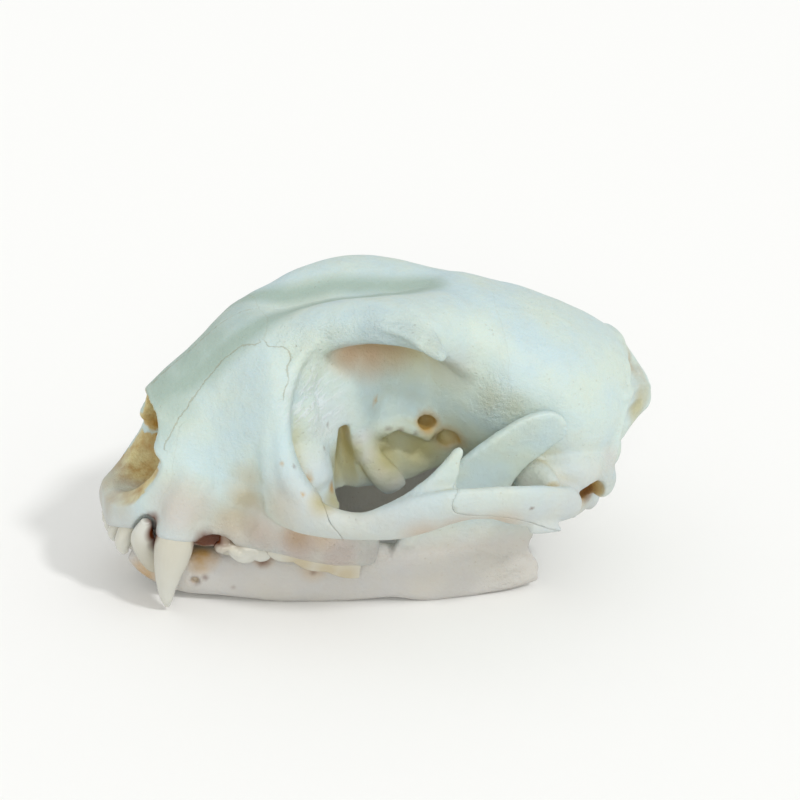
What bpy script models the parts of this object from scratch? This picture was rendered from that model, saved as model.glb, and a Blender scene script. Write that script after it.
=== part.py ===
"""A caracal skull at life size: cranium, the two cheek bones and the two halves of the lower jaw.

Every bone is drawn in millimetres on the skull's own lines: x runs back from the front teeth,
"out" runs sideways from the middle plane and z runs up from the gum line of the upper canine.
The left side is modelled and the right side is its mirror image. At the end the bones are set
on the floor: +X is the back of the head, -Y the animal's left, +Z up, in metres.
"""
import math

import bmesh
import bpy
import numpy as np
from mathutils import Matrix, Vector

MM = 0.001

# Driving sizes, in millimetres.
JAW_DEPTH = 18.4          # gum line of the upper canine down to the lowest edge of the jaw
SUTURE_GAP = 0.3          # width of the open joints of the cheek bone and of the chin
SKULL_LENGTH = 121.4      # front teeth to the back of the occiput
NASAL_NOTCH = (9.0, 24.6)      # x, z of the front edge of the nasal bones at the middle
NASAL_ROOT = (33.0, 41.2)      # x, z where the nasal bones meet the frontal bones
BROW_TOP = (57.0, 47.4)        # x, z of the highest part of the forehead
CRANIUM_WIDEST = (91.0, 25.8)  # x, half width of the braincase
ARCH_WIDEST = (70.0, 41.3)     # x, half width over the cheek arches
WAIST = (70.0, 17.0)           # x, half width of the narrow place behind the eyes

BONE_COLOUR = (0.62, 0.66, 0.62)   # pale, slightly green-grey ivory, linear

SKIN_VOXEL = 0.8
CRANIUM_FACES = 5600
JAW_FACES = 2200

RING = 20


# Tools for shaping

def start_clean():
    for old in list(bpy.data.objects):
        bpy.data.objects.remove(old, do_unlink=True)


def bone_material(name, colour, roughness):
    material = bpy.data.materials.new(name)
    material.use_nodes = True
    shader = material.node_tree.nodes["Principled BSDF"]
    shader.inputs["Base Color"].default_value = (*colour, 1.0)
    shader.inputs["Roughness"].default_value = roughness
    shader.inputs["Metallic"].default_value = 0.0
    return material


def smooth_rows(rows, gap, places=3):
    """Rows between the named ones on a smooth curve, about `gap` millimetres apart.
    The first `places` columns say where a row is."""
    rows = np.array(rows, float)
    steps = np.linalg.norm(np.diff(rows[:, :places], axis=0), axis=1)
    knots = np.concatenate([[0.0], np.cumsum(steps)])
    slopes = np.gradient(rows, knots, axis=0)
    count = max(len(rows), int(knots[-1] / gap) + 2)
    out = []
    for at in np.linspace(0.0, knots[-1], count):
        i = min(int(np.searchsorted(knots, at, side="right")) - 1, len(rows) - 2)
        span = knots[i + 1] - knots[i]
        t = (at - knots[i]) / span
        out.append(
            (2 * t**3 - 3 * t**2 + 1) * rows[i]
            + (t**3 - 2 * t**2 + t) * span * slopes[i]
            + (3 * t**2 - 2 * t**3) * rows[i + 1]
            + (t**3 - t**2) * span * slopes[i + 1]
        )
    return np.array(out)


def roll_up(clay, rings):
    """A closed tube through rings of equal length: a grid is bent round them and capped."""
    new = bmesh.new()
    around = len(rings[0])
    bmesh.ops.create_grid(new, x_segments=len(rings) - 1, y_segments=around, size=1.0)
    for vert in new.verts:
        ring = rings[round((vert.co.x + 1.0) / 2.0 * (len(rings) - 1))]
        vert.co = Vector(ring[round((vert.co.y + 1.0) / 2.0 * around) % around])
    bmesh.ops.remove_doubles(new, verts=new.verts, dist=1e-5)
    bmesh.ops.holes_fill(new, edges=[e for e in new.edges if e.is_boundary], sides=0)
    bmesh.ops.recalc_face_normals(new, faces=new.faces)
    mesh = bpy.data.meshes.new("roll")
    new.to_mesh(mesh)
    new.free()
    clay.from_mesh(mesh)
    bpy.data.meshes.remove(mesh)


def power(value, squareness):
    return math.copysign(abs(value) ** (2.0 / squareness), value)


def trunk(clay, rows, low_squareness=2.4, gap=2.0, trough=0.0, trough_half=8.0):
    """A body on the middle plane. Row: x, squareness of its upper half, height of its
    widest line, lowest z, highest z, half width, and a share of the trough down its top."""
    rings = []
    for x, square, wide, low, high, half, dip in smooth_rows(rows, gap, places=1):
        ring = []
        for k in range(2 * RING):
            turn = math.pi * k / RING
            above = math.sin(turn) >= 0
            bend = square if above else low_squareness
            y = half * power(math.cos(turn), bend)
            z = wide + ((high - wide) if above else (wide - low)) * power(math.sin(turn), bend)
            if above:
                z -= trough * dip * math.exp(-((y / trough_half) ** 2))
            ring.append((x, y, z))
        rings.append(ring)
    roll_up(clay, rings)


def limb(clay, rows, squareness=2.0, gap=1.5, up=None, lean=0.0, about=None):
    """A bar of oval section on the left side. Row: x, out, z, half thickness, half height.
    The height stands along `up`, or away from the point `about`, and leans by degrees."""
    rows = smooth_rows(rows, gap)
    rings = []
    for i, (x, out, z, thick, high) in enumerate(rows):
        place = Vector((x, -out, z))
        before = rows[max(i - 1, 0)]
        after = rows[min(i + 1, len(rows) - 1)]
        run = Vector((after[0] - before[0], before[1] - after[1], after[2] - before[2]))
        run.normalize()
        stand = (place - Vector(about)) if about else Vector(up or (0.0, 0.0, 1.0))
        stand = (stand - run * stand.dot(run)).normalized()
        stand = Matrix.Rotation(math.radians(lean), 3, run) @ stand
        side = run.cross(stand)
        ring = []
        for k in range(RING):
            turn = 2.0 * math.pi * k / RING
            ring.append(
                place
                + side * (thick * power(math.cos(turn), squareness))
                + stand * (high * power(math.sin(turn), squareness))
            )
        rings.append(ring)
    roll_up(clay, rings)


def lump(clay, centre, radii, turn=(0.0, 0.0, 0.0)):
    """An egg: centre is x, out, z; the turn is in degrees about x, y and z."""
    place = Matrix.Translation((centre[0], -centre[1], centre[2]))
    for axis, angle in zip("XYZ", turn):
        place = place @ Matrix.Rotation(math.radians(angle), 4, axis)
    bmesh.ops.create_uvsphere(
        clay, u_segments=24, v_segments=14, radius=1.0,
        matrix=place @ Matrix.Diagonal((*radii, 1.0)),
    )


def plate(clay, outline, thickness, out_at, lean, splay=0.0, middle=0.0):
    """A flat bone seen from the side: outline of x, z; it stands `out_at` from the middle
    plane at z = 0 and x = `middle`, leaning outwards by `lean` a millimetre of height and
    by `splay` a millimetre of length."""
    new = bmesh.new()
    loop = smooth_rows([(x, 0.0, z) for x, z in outline + outline[:1]], 1.5)[:-1]
    rings = []
    for y in (-0.5 * thickness, 0.5 * thickness):
        rings.append([new.verts.new((x, y, z)) for x, _, z in loop])
    new.faces.new(rings[0])
    new.faces.new(rings[1][::-1])
    for i in range(len(loop)):
        j = (i + 1) % len(loop)
        new.faces.new((rings[0][j], rings[0][i], rings[1][i], rings[1][j]))
    bmesh.ops.triangulate(new, faces=[f for f in new.faces if len(f.verts) > 4])
    for vert in new.verts:
        vert.co.y -= out_at + lean * vert.co.z + splay * (vert.co.x - middle)
    bmesh.ops.recalc_face_normals(new, faces=new.faces)
    mesh = bpy.data.meshes.new("plate")
    new.to_mesh(mesh)
    new.free()
    clay.from_mesh(mesh)
    bpy.data.meshes.remove(mesh)


def as_object(name, clay, collection):
    mesh = bpy.data.meshes.new(name)
    clay.to_mesh(mesh)
    clay.free()
    made = bpy.data.objects.new(name, mesh)
    collection.objects.link(made)
    return made


def apply_modifiers(made):
    graph = bpy.context.evaluated_depsgraph_get()
    mesh = bpy.data.meshes.new_from_object(made.evaluated_get(graph))
    made.modifiers.clear()
    old = made.data
    made.data = mesh
    bpy.data.meshes.remove(old)
    return made


def skin(made, voxel, smoothing):
    """Joins overlapping clay into one surface and softens its creases."""
    remesh = made.modifiers.new("Skin", "REMESH")
    remesh.mode = "VOXEL"
    remesh.voxel_size = voxel
    soft = made.modifiers.new("Soften", "SMOOTH")
    soft.factor = 0.5
    soft.iterations = smoothing
    return apply_modifiers(made)


def cut(made, cutter):
    knife = made.modifiers.new("Cut", "BOOLEAN")
    knife.operation = "DIFFERENCE"
    knife.solver = "EXACT"
    knife.object = cutter
    apply_modifiers(made)
    bpy.data.objects.remove(cutter, do_unlink=True)
    return made


def thin_out(made, faces):
    thinner = made.modifiers.new("Thin out", "DECIMATE")
    thinner.use_collapse_triangulate = True
    triangles = sum(len(p.vertices) - 2 for p in made.data.polygons)
    thinner.ratio = min(1.0, faces / triangles)
    return apply_modifiers(made)


# The cranium

def face_and_vault(clay):
    # Snout, from the front teeth to the eye sockets.
    trunk(clay, [
        (0.0, 1.8, -0.4, -2.6, 2.6, 6.4, 0),
        (2.6, 1.8, 0.2, -2.4, 12.0, 9.0, 0),
        (5.6, 1.7, 0.8, -2.2, 21.0, 11.6, 0),
        (NASAL_NOTCH[0], 1.6, 1.2, -2.2, NASAL_NOTCH[1] + 0.6, 14.0, 0),
        (13.0, 1.6, 1.8, -2.0, 29.2, 15.4, 0),
        (17.0, 1.75, 2.6, -1.4, 32.6, 15.0, 0),
        (21.0, 1.95, 4.4, -0.5, 36.2, 15.4, 0),
        (25.0, 2.2, 9.0, 0.5, 39.2, 17.6, 0),
        (29.0, 2.5, 14.0, 1.5, 41.0, 20.4, 0),
        (32.0, 2.8, 16.0, 2.5, 41.4, 21.4, 0),
        (34.6, 3.0, 17.0, 4.0, 40.8, 19.4, 0),
    ], low_squareness=2.6)
    # Forehead, with a trough down its middle.
    trunk(clay, [
        (25.0, 2.2, 30.0, 22.0, 38.0, 9.0, 0.0),
        (29.0, 2.3, 32.0, 22.0, 41.4, 12.6, 0.1),
        (NASAL_ROOT[0], 2.5, 34.5, 23.0, NASAL_ROOT[1] + 2.0, 15.0, 0.45),
        (37.0, 2.8, 37.0, 27.0, 44.8, 14.6, 0.8),
        (41.0, 3.0, 39.4, 32.0, 46.2, 15.2, 1.0),
        (47.0, 3.0, 41.0, 36.0, 47.2, 17.4, 1.0),
        (52.0, 3.0, 41.4, 37.4, 47.4, 19.8, 1.0),
        (BROW_TOP[0], 3.0, 41.0, 37.0, BROW_TOP[1], 21.4, 0.95),
        (62.0, 3.0, 39.4, 35.4, 47.0, 21.8, 0.85),
        (67.0, 2.9, 36.4, 32.0, 46.8, 19.6, 0.6),
        (72.0, 2.6, 33.0, 26.0, 46.0, 18.4, 0.3),
        (78.0, 2.3, 30.0, 20.0, 44.4, 20.0, 0.0),
    ], trough=4.6, trough_half=8.0)
    # The wall between the eye sockets.
    trunk(clay, [
        (27.0, 2.6, 14.0, 4.0, 34.0, 14.0, 0),
        (34.0, 2.8, 18.0, 4.0, 38.0, 15.2, 0),
        (40.0, 2.8, 20.0, 4.0, 40.0, 14.4, 0),
        (47.0, 2.8, 22.0, 4.5, 41.0, 13.6, 0),
        (53.0, 2.8, 23.0, 6.0, 41.0, 12.8, 0),
        (59.0, 2.8, 22.0, 8.0, 41.0, 10.8, 0),
        (65.0, 2.6, 21.0, 9.0, 41.4, 10.2, 0),
        (WAIST[0], 2.4, 22.0, 9.0, 42.4, 12.6, 0),
        (76.0, 2.2, 24.0, 8.0, 43.0, 17.0, 0),
    ])
    # Braincase, drawn out into the bulging back of the head.
    trunk(clay, [
        (60.0, 2.2, 28.0, 20.0, 38.0, 3.0, 0),
        (66.0, 2.2, 28.0, 13.0, 43.0, 10.4, 0),
        (72.0, 2.3, 27.0, 9.0, 45.6, WAIST[1], 0),
        (78.0, 2.3, 23.5, 5.0, 44.8, 22.4, 0),
        (85.0, 2.15, 20.0, 2.0, 43.0, 24.9, 0),
        (CRANIUM_WIDEST[0], 2.1, 18.4, 1.0, 41.2, CRANIUM_WIDEST[1], 0),
        (96.0, 2.05, 18.0, 1.0, 39.4, 25.2, 0),
        (102.0, 2.0, 18.0, 2.6, 37.0, 22.6, 0),
        (107.5, 2.0, 18.0, 6.0, 34.0, 17.8, 0),
        (112.5, 2.0, 17.4, 9.2, 30.0, 12.0, 0),
        (116.4, 1.9, 16.8, 11.6, 25.2, 7.8, 0),
        (119.8, 1.9, 16.2, 13.2, 20.6, 4.4, 0),
        (SKULL_LENGTH, 2.0, 15.8, 14.8, 16.8, 1.2, 0),
    ], low_squareness=2.0)


def brow_and_eye_rim(clay):
    limb(clay, [
        (46.0, 10.6, 42.6, 1.2, 2.6),
        (53.0, 16.0, 42.6, 1.5, 4.2),
        (59.0, 21.0, 41.8, 1.4, 3.6),
        (62.6, 24.4, 39.9, 1.1, 2.3),
        (64.8, 26.6, 38.0, 0.6, 1.0),
    ], up=(1.0, 0.4, 0.0))
    limb(clay, [
        (37.0, 27.4, 9.4, 3.0, 3.2),
        (33.6, 24.0, 14.4, 2.9, 3.0),
        (32.4, 20.8, 20.6, 2.5, 2.6),
        (32.8, 18.4, 28.0, 2.4, 2.6),
        (35.6, 15.8, 34.8, 2.2, 2.8),
        (40.5, 14.0, 39.4, 2.0, 2.4),
        (47.0, 15.0, 41.4, 1.6, 2.0),
    ], up=(0.0, 1.0, 0.0))
    # The bone that slopes from the rim to the face.
    limb(clay, [
        (37.0, 25.6, 7.4, 3.0, 3.4),
        (32.4, 21.6, 12.4, 3.6, 3.6),
        (31.0, 18.6, 19.0, 3.4, 3.6),
        (31.2, 16.0, 27.0, 3.0, 3.4),
    ], up=(0.0, 1.0, 0.0))


def socket_floor(clay):
    """The swelling of the upper jaw that fills the front of the eye socket's floor."""
    limb(clay, [
        (37.0, 9.6, 24.0, 4.2, 5.6),
        (37.4, 10.4, 17.6, 4.8, 7.0),
        (37.8, 12.0, 11.6, 6.2, 7.6),
        (38.6, 14.0, 6.0, 6.6, 7.6),
        (41.2, 16.6, 3.0, 4.2, 6.0),
        (44.6, 18.4, 1.4, 2.6, 4.6),
    ], up=(1.0, 0.0, 0.0))


def cheek_arch(clay):
    limb(clay, [
        (28.8, 11.0, 9.4, 3.0, 4.0),
        (30.8, 18.6, 8.8, 3.3, 5.4),
        (34.2, 25.0, 8.0, 3.2, 4.8),
        (39.0, 29.6, 7.6, 2.6, 3.9),
        (44.0, 32.4, 7.4, 2.3, 3.2),
        (50.0, 35.2, 8.6, 2.1, 4.2),
        (56.0, 37.6, 11.2, 2.1, 4.8),
        (62.0, 39.4, 13.4, 2.0, 4.4),
        (ARCH_WIDEST[0], ARCH_WIDEST[1] - 1.8, 13.5, 1.9, 4.0),
        (77.0, 39.0, 12.0, 2.0, 5.0),
        (82.5, 37.0, 10.4, 2.2, 4.7),
        (87.0, 34.8, 9.0, 2.3, 4.2),
        (90.2, 31.6, 7.2, 2.3, 2.8),
        (91.8, 27.0, 7.0, 2.6, 2.8),
        (93.4, 21.6, 8.0, 3.0, 3.6),
    ], lean=18.0)
    plate(clay, [
        (44.0, 9.2), (47.5, 11.7), (51.6, 13.9), (55.6, 16.6), (58.7, 19.5), (61.1, 22.6),
        (62.6, 24.6), (63.7, 25.2), (64.3, 24.2), (63.7, 22.0), (63.6, 19.8), (63.0, 17.4),
        (62.0, 13.0), (56.0, 8.6), (49.0, 6.6),
    ], 2.4, 37.0, -0.04, 0.17, 57.0)
    limb(clay, [
        (79.0, 38.4, 6.8, 1.2, 1.8),
        (83.4, 37.7, 5.6, 0.9, 1.3),
        (86.6, 37.0, 4.4, 0.5, 0.6),
    ])


def skull_base(clay):
    # Palate, with the gum ridge that carries the cheek teeth.
    trunk(clay, [
        (3.0, 3.0, 2.0, -0.6, 6.0, 8.0, 0),
        (12.0, 3.0, 2.0, -0.4, 6.0, 12.5, 0),
        (24.0, 3.0, 3.0, 0.8, 7.0, 14.0, 0),
        (36.0, 3.0, 4.0, 2.0, 8.0, 17.5, 0),
        (44.0, 3.0, 4.6, 2.6, 8.6, 16.0, 0),
        (50.0, 3.0, 6.0, 3.6, 9.0, 11.0, 0),
    ], low_squareness=3.0)
    limb(clay, [
        (10.0, 12.6, 1.0, 3.0, 3.4),
        (16.0, 13.4, 0.6, 2.3, 3.4),
        (24.0, 15.8, 0.6, 2.3, 4.0),
        (32.0, 19.0, 0.4, 2.3, 4.6),
        (38.5, 21.0, -0.4, 2.4, 5.4),
        (46.0, 22.4, -1.2, 2.4, 5.8),
        (52.4, 22.4, -1.6, 2.2, 5.8),
    ], squareness=2.6)
    # The side of the face above that ridge.
    limb(clay, [
        (14.0, 11.6, 4.6, 3.0, 3.6),
        (19.0, 13.4, 5.6, 3.2, 4.6),
        (24.0, 14.8, 6.6, 3.4, 5.4),
        (29.0, 16.4, 8.0, 3.4, 6.0),
    ], squareness=2.2)
    # The swelling over the root of the canine.
    limb(clay, [
        (18.4, 8.6, 18.0, 1.8, 2.4),
        (16.6, 11.0, 13.0, 2.8, 3.6),
        (15.0, 12.4, 8.0, 3.4, 4.2),
        (13.2, 13.6, 2.0, 3.6, 4.4),
        (12.5, 14.1, -1.4, 3.4, 4.3),
    ], up=(1.0, 0.0, 0.0))
    # Wings that hang behind the palate.
    limb(clay, [
        (46.0, 9.6, 6.6, 2.6, 3.0),
        (52.0, 8.0, 7.2, 1.6, 4.2),
        (60.0, 7.6, 8.0, 1.2, 5.2),
        (66.0, 7.8, 9.6, 1.1, 4.8),
        (72.0, 8.6, 11.0, 1.2, 3.6),
    ])
    # Floor of the braincase, joint sockets, ear capsules and occipital knuckles.
    trunk(clay, [
        (60.0, 3.0, 12.0, 9.6, 16.0, 6.0, 0),
        (74.0, 3.0, 9.0, 5.6, 14.0, 10.0, 0),
        (88.0, 3.0, 8.0, 4.4, 13.0, 11.0, 0),
        (102.0, 3.0, 6.0, 2.8, 12.0, 10.0, 0),
        (109.0, 3.0, 6.0, 2.4, 10.0, 8.0, 0),
    ], low_squareness=3.0)
    limb(clay, [
        (86.0, 18.0, 8.6, 4.6, 3.0),
        (87.0, 26.0, 8.2, 4.8, 2.9),
        (87.0, 33.0, 8.4, 3.8, 2.6),
    ])
    limb(clay, [
        (92.4, 21.0, 4.0, 1.3, 3.4),
        (92.0, 30.0, 5.4, 1.2, 2.6),
    ])
    lump(clay, (93.0, 14.2, 2.0), (9.8, 7.2, 7.3), (0.0, 0.0, -16.0))
    lump(clay, (99.0, 20.0, 9.6), (5.4, 5.0, 6.4))
    limb(clay, [
        (84.0, 20.6, 11.0, 3.0, 2.6),
        (88.0, 23.6, 10.6, 4.4, 4.2),
        (93.0, 24.4, 11.0, 4.4, 4.4),
        (98.0, 22.4, 11.0, 3.6, 4.0),
    ])
    lump(clay, (101.2, 22.2, 7.4), (3.1, 2.6, 4.4))
    limb(clay, [
        (101.2, 15.6, 6.0, 2.3, 3.2),
        (102.0, 16.0, 1.6, 2.0, 2.6),
        (102.0, 15.6, -1.6, 1.6, 2.0),
        (101.6, 15.2, -3.2, 0.8, 1.0),
    ], up=(0.0, 1.0, 0.0))
    lump(clay, (107.6, 7.4, 7.2), (4.2, 4.2, 5.6), (0.0, 0.0, 18.0))
    limb(clay, [
        (101.0, 23.2, 7.6, 0.9, 1.6),
        (103.2, 21.4, 13.0, 0.9, 1.8),
        (105.0, 18.4, 18.6, 0.9, 2.0),
        (107.2, 14.6, 23.8, 0.9, 2.2),
        (108.8, 10.0, 27.6, 0.9, 2.2),
        (110.0, 5.0, 30.0, 0.9, 2.0),
        (110.6, 0.0, 30.8, 0.9, 1.8),
        (110.0, -5.0, 30.0, 0.9, 2.0),
    ], about=(92.0, 0.0, 16.0))


def upper_teeth(clay):
    for x, out, reach, root in ((0.9, 1.5, 6.6, 1.15), (1.4, 4.2, 7.2, 1.3), (3.0, 7.2, 8.4, 1.75)):
        limb(clay, [
            (x + 3.0, out, 2.0, root, root),
            (x + 0.8, out, -2.6, root, root),
            (x, out, 0.6 - reach, 0.55 * root, 0.7 * root),
        ], up=(1.0, 0.0, 0.0), gap=1.0)
    limb(clay, [
        (15.5, 12.4, 9.0, 3.0, 3.4),
        (13.2, 14.0, 2.0, 3.1, 4.0),
        (12.2, 14.6, -2.6, 3.0, 4.0),
        (11.6, 14.6, -6.0, 2.8, 3.6),
        (11.0, 14.5, -9.4, 2.2, 2.8),
        (10.7, 14.1, -13.0, 1.5, 1.9),
        (10.8, 13.8, -16.0, 0.9, 1.1),
        (10.9, 13.6, -17.4, 0.5, 0.6),
    ], up=(1.0, 0.0, 0.0), gap=1.2)
    cheek_tooth(clay, (
        (19.8, 15.4, -3.4), (21.4, 15.7, -5.0), (24.4, 16.2, -8.2), (27.0, 16.9, -6.6),
        (29.6, 17.5, -6.8),
    ), 2.0, 1.5)
    cheek_tooth(clay, (
        (31.0, 18.6, -5.0), (33.4, 19.4, -6.4), (36.0, 20.1, -6.5), (39.2, 21.0, -8.2),
        (42.8, 21.9, -8.6), (46.6, 22.6, -10.0), (49.0, 22.9, -10.2),
    ), 1.5, 0.5)


def cheek_tooth(clay, edge, thick, root_top):
    """A cutting tooth: its edge runs through the named points and its root ends at root_top."""
    rows = []
    for x, out, tip in edge:
        rows.append((x, out, (tip + root_top) / 2.0, thick, abs(root_top - tip) / 2.0))
    rows[0] = rows[0][:3] + (thick * 0.6, rows[0][4])
    rows[-1] = rows[-1][:3] + (thick * 0.6, rows[-1][4])
    limb(clay, rows, squareness=1.7, gap=0.8)


def openings_of_cranium(clay):
    # The nose: its slanting mouth, then the cavity behind, deep enough to hide its end.
    plate(clay, [
        (-6.0, 3.7), (2.2, 3.7), (4.6, 5.1), (7.4, 8.4), (9.1, 10.8), (10.1, 13.0), (10.3, 14.4),
        (9.3, 15.0), (9.1, 16.4), (9.8, 18.4), (10.3, 20.3), (9.9, 22.4), (9.0, 24.6),
        (8.2, 32.0), (-6.0, 32.0),
    ], 40.0, 0.0, 0.0)
    trunk(clay, [
        (-4.0, 2.1, 12.5, 3.4, 21.0, 7.0, 0),
        (4.0, 2.1, 12.0, 3.4, 21.0, 7.4, 0),
        (9.0, 2.1, 13.0, 4.2, 23.4, 7.8, 0),
        (14.0, 2.1, 15.0, 5.6, 26.6, 7.8, 0),
        (20.0, 2.1, 18.0, 9.0, 30.0, 6.8, 0),
        (27.0, 2.1, 21.0, 14.0, 31.0, 3.4, 0),
    ], low_squareness=2.1)
    # The hole for the spinal cord and the passage behind the palate.
    lump(clay, (111.0, 0.0, 6.8), (8.0, 6.2, 5.0))
    trunk(clay, [
        (49.0, 2.2, 5.0, 0.5, 8.4, 5.0, 0),
        (58.0, 2.2, 5.0, 0.5, 9.4, 5.4, 0),
        (72.0, 2.2, 5.0, 0.5, 9.8, 5.8, 0),
    ])
    # The furrow in front of the cheek root, and the canal that opens in its depth.
    limb(clay, [
        (25.8, 24.0, 14.0, 1.0, 1.8),
        (25.4, 22.0, 9.4, 3.0, 3.4),
        (25.0, 21.2, 4.4, 3.8, 4.0),
        (24.0, 22.2, -1.4, 3.2, 3.4),
    ], up=(1.0, 0.0, 0.0))
    limb(clay, [
        (25.0, 19.4, 7.0, 1.0, 1.6),
        (28.4, 18.6, 8.0, 1.2, 1.8),
        (33.0, 17.4, 9.4, 0.8, 1.0),
    ])
    # The notch that the tip of the lower canine stands in.
    limb(clay, [
        (6.6, 10.6, -5.0, 3.2, 3.3),
        (6.7, 12.0, -0.6, 3.2, 3.2),
        (7.2, 13.8, 3.6, 2.4, 2.4),
    ], up=(1.0, 0.0, 0.0))
    # Ear opening, optic foramen and the fissure behind it.
    limb(clay, [
        (96.6, 30.0, 4.6, 3.0, 3.8),
        (96.4, 24.0, 5.0, 2.9, 3.6),
        (96.0, 18.5, 5.6, 2.2, 2.6),
    ])
    lump(clay, (65.8, 9.6, 18.0), (2.1, 3.2, 1.5))
    lump(clay, (70.4, 11.4, 14.0), (2.3, 4.0, 2.6))


def ribbon(line, out_from, out_to, name, collection):
    """A thin upright sheet, SUTURE_GAP thick, that parts two bones along a line of x, z."""
    path = smooth_rows([(x, 0.0, z) for x, z in line], 2.0)
    band = bmesh.new()
    sides = []
    for sign in (-0.5, 0.5):
        edge = []
        for i, (x, _, z) in enumerate(path):
            after = path[min(i + 1, len(path) - 1)]
            before = path[max(i - 1, 0)]
            across = Vector((before[2] - after[2], 0.0, after[0] - before[0])).normalized()
            edge.append(Vector((x, -out_from, z)) + across * sign * SUTURE_GAP)
        sides.append(edge)
    outline = sides[0] + sides[1][::-1]
    near = [band.verts.new(p) for p in outline]
    count = len(path)
    faces = []
    for i in range(count - 1):
        faces.append(band.faces.new((near[i], near[i + 1], near[-2 - i], near[-1 - i])))
    grown = bmesh.ops.extrude_face_region(band, geom=faces)
    moved = [g for g in grown["geom"] if isinstance(g, bmesh.types.BMVert)]
    bmesh.ops.translate(band, verts=moved, vec=(0.0, out_from - out_to, 0.0))
    bmesh.ops.recalc_face_normals(band, faces=band.faces)
    sheet = as_object(name, band, collection)
    sheet.hide_render = True
    sheet.display_type = "WIRE"
    return sheet


CHEEK_TO_FACE = [(40.4, 15.4), (38.8, 12.0), (39.2, 9.2), (41.2, 6.4), (43.4, 3.0)]
CHEEK_TO_TEMPLE = [
    (68.0, 22.8), (64.8, 19.0), (61.9, 17.0), (61.0, 14.9), (61.6, 13.3), (63.6, 12.3),
    (66.4, 11.7), (70.0, 11.1), (73.8, 10.2), (77.6, 8.6), (82.0, 6.4), (85.6, 4.6), (89.0, 2.8),
]


# The lower jaw

def jaw_body(clay):
    limb(clay, [
        (5.4, 2.9, -9.0, 2.6, 2.4),
        (8.6, 4.2, -10.4, 3.9, 3.8),
        (14.0, 7.0, -11.9, 3.6, 5.1),
        (23.0, 10.6, -12.2, 3.1, 5.4),
        (34.0, 13.8, -12.3, 2.9, 6.1),
        (45.0, 16.0, -12.5, 2.8, 6.2),
        (51.0, 17.4, -11.8, 2.8, 6.4),
        (58.0, 18.8, -11.6, 2.8, 6.0),
        (65.0, 20.0, -12.2, 2.5, 6.5),
        (71.0, 20.4, -12.6, 2.1, 6.0),
        (78.0, 20.4, -13.4, 1.7, 4.9),
        (84.0, 20.0, -14.2, 1.2, 3.6),
        (88.6, 19.6, -14.6, 0.7, 2.4),
    ], squareness=2.3)
    plate(clay, [
        (55.0, -10.0), (57.0, -3.5), (60.5, 5.0), (64.6, 11.8), (69.0, 17.0), (74.7, 22.6),
        (81.0, 26.6), (85.4, 27.0), (88.4, 25.0), (89.4, 21.6), (86.0, 17.8), (81.8, 13.6),
        (79.6, 8.6), (80.4, 4.4), (84.4, 3.0), (87.6, 1.6), (87.2, -4.0), (86.8, -8.0),
        (88.2, -10.8), (89.8, -13.0), (90.2, -15.4), (88.4, -17.2), (83.0, -17.8),
        (77.0, -17.4), (71.0, -17.0), (62.0, -16.4),
    ], 2.4, 22.0, 0.26)
    # Angular process, joint roller and the raised edge round the muscle pit.
    limb(clay, [
        (74.0, 20.6, -16.2, 1.6, 1.8),
        (82.0, 20.2, -16.2, 1.6, 1.9),
        (89.4, 19.8, -15.0, 1.3, 2.0),
    ])
    limb(clay, [
        (85.0, 21.0, 2.6, 2.0, 2.1),
        (86.0, 26.0, 2.6, 2.4, 2.3),
        (85.6, 31.6, 2.6, 1.8, 1.8),
    ])
    limb(clay, [
        (59.0, 21.4, -4.0, 1.5, 1.8),
        (64.6, 24.2, 9.0, 1.3, 1.7),
        (72.0, 26.6, 18.6, 1.1, 1.4),
        (78.6, 28.0, 23.6, 0.7, 1.0),
    ], up=(1.0, 0.0, 0.0))


def lower_teeth(clay):
    for x, out in ((5.0, 1.2), (5.5, 3.0), (6.4, 4.9)):
        limb(clay, [
            (x + 1.0, out + 0.3, -9.0, 0.8, 1.0),
            (x, out + 0.3, -4.4, 0.75, 0.8),
        ], up=(1.0, 0.0, 0.0), gap=1.0)
    limb(clay, [
        (10.8, 6.4, -11.8, 2.4, 2.8),
        (7.8, 9.0, -6.6, 2.3, 2.6),
        (6.6, 11.3, -1.6, 1.8, 2.1),
        (7.0, 12.6, 2.6, 0.6, 0.7),
    ], up=(1.0, 0.0, 0.0), gap=1.0)
    cheek_tooth(clay, (
        (22.6, 11.0, -5.8), (25.6, 11.8, -3.2), (29.0, 12.6, -5.6),
    ), 1.6, -10.0)
    cheek_tooth(clay, (
        (30.2, 13.0, -5.6), (34.0, 14.0, -1.6), (38.0, 14.8, -4.8),
    ), 1.7, -10.0)
    cheek_tooth(clay, (
        (39.2, 15.2, -4.6), (42.6, 16.0, -0.6), (45.6, 16.6, -3.0), (49.0, 17.3, -0.8),
        (50.8, 17.7, -4.6),
    ), 1.7, -10.0)


def openings_of_jaw(clay):
    lump(clay, (75.0, 29.6, -1.0), (8.0, 3.6, 10.0), (0.0, 0.0, 0.0))
    lump(clay, (17.0, 11.6, -13.2), (1.4, 1.6, 1.2))


# Assembly

def left_half(made):
    """Clears everything right of the middle plane."""
    half = bmesh.new()
    half.from_mesh(made.data)
    bmesh.ops.bisect_plane(
        half, geom=half.verts[:] + half.edges[:] + half.faces[:], dist=1e-5,
        plane_co=(0, 0, 0), plane_no=(0, 1, 0), clear_outer=True,
    )
    for vert in half.verts:
        if abs(vert.co.y) < 1e-3:
            vert.co.y = 0.0
    bmesh.ops.dissolve_degenerate(half, edges=half.edges[:], dist=1e-3)
    bmesh.ops.delete(
        half, geom=[f for f in half.faces if all(v.co.y == 0.0 for v in f.verts)], context="FACES"
    )
    half.to_mesh(made.data)
    half.free()


def whole_from_half(made):
    mirror = made.modifiers.new("Other side", "MIRROR")
    mirror.use_axis = (False, True, False)
    mirror.merge_threshold = 0.0001
    return apply_modifiers(made)


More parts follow.
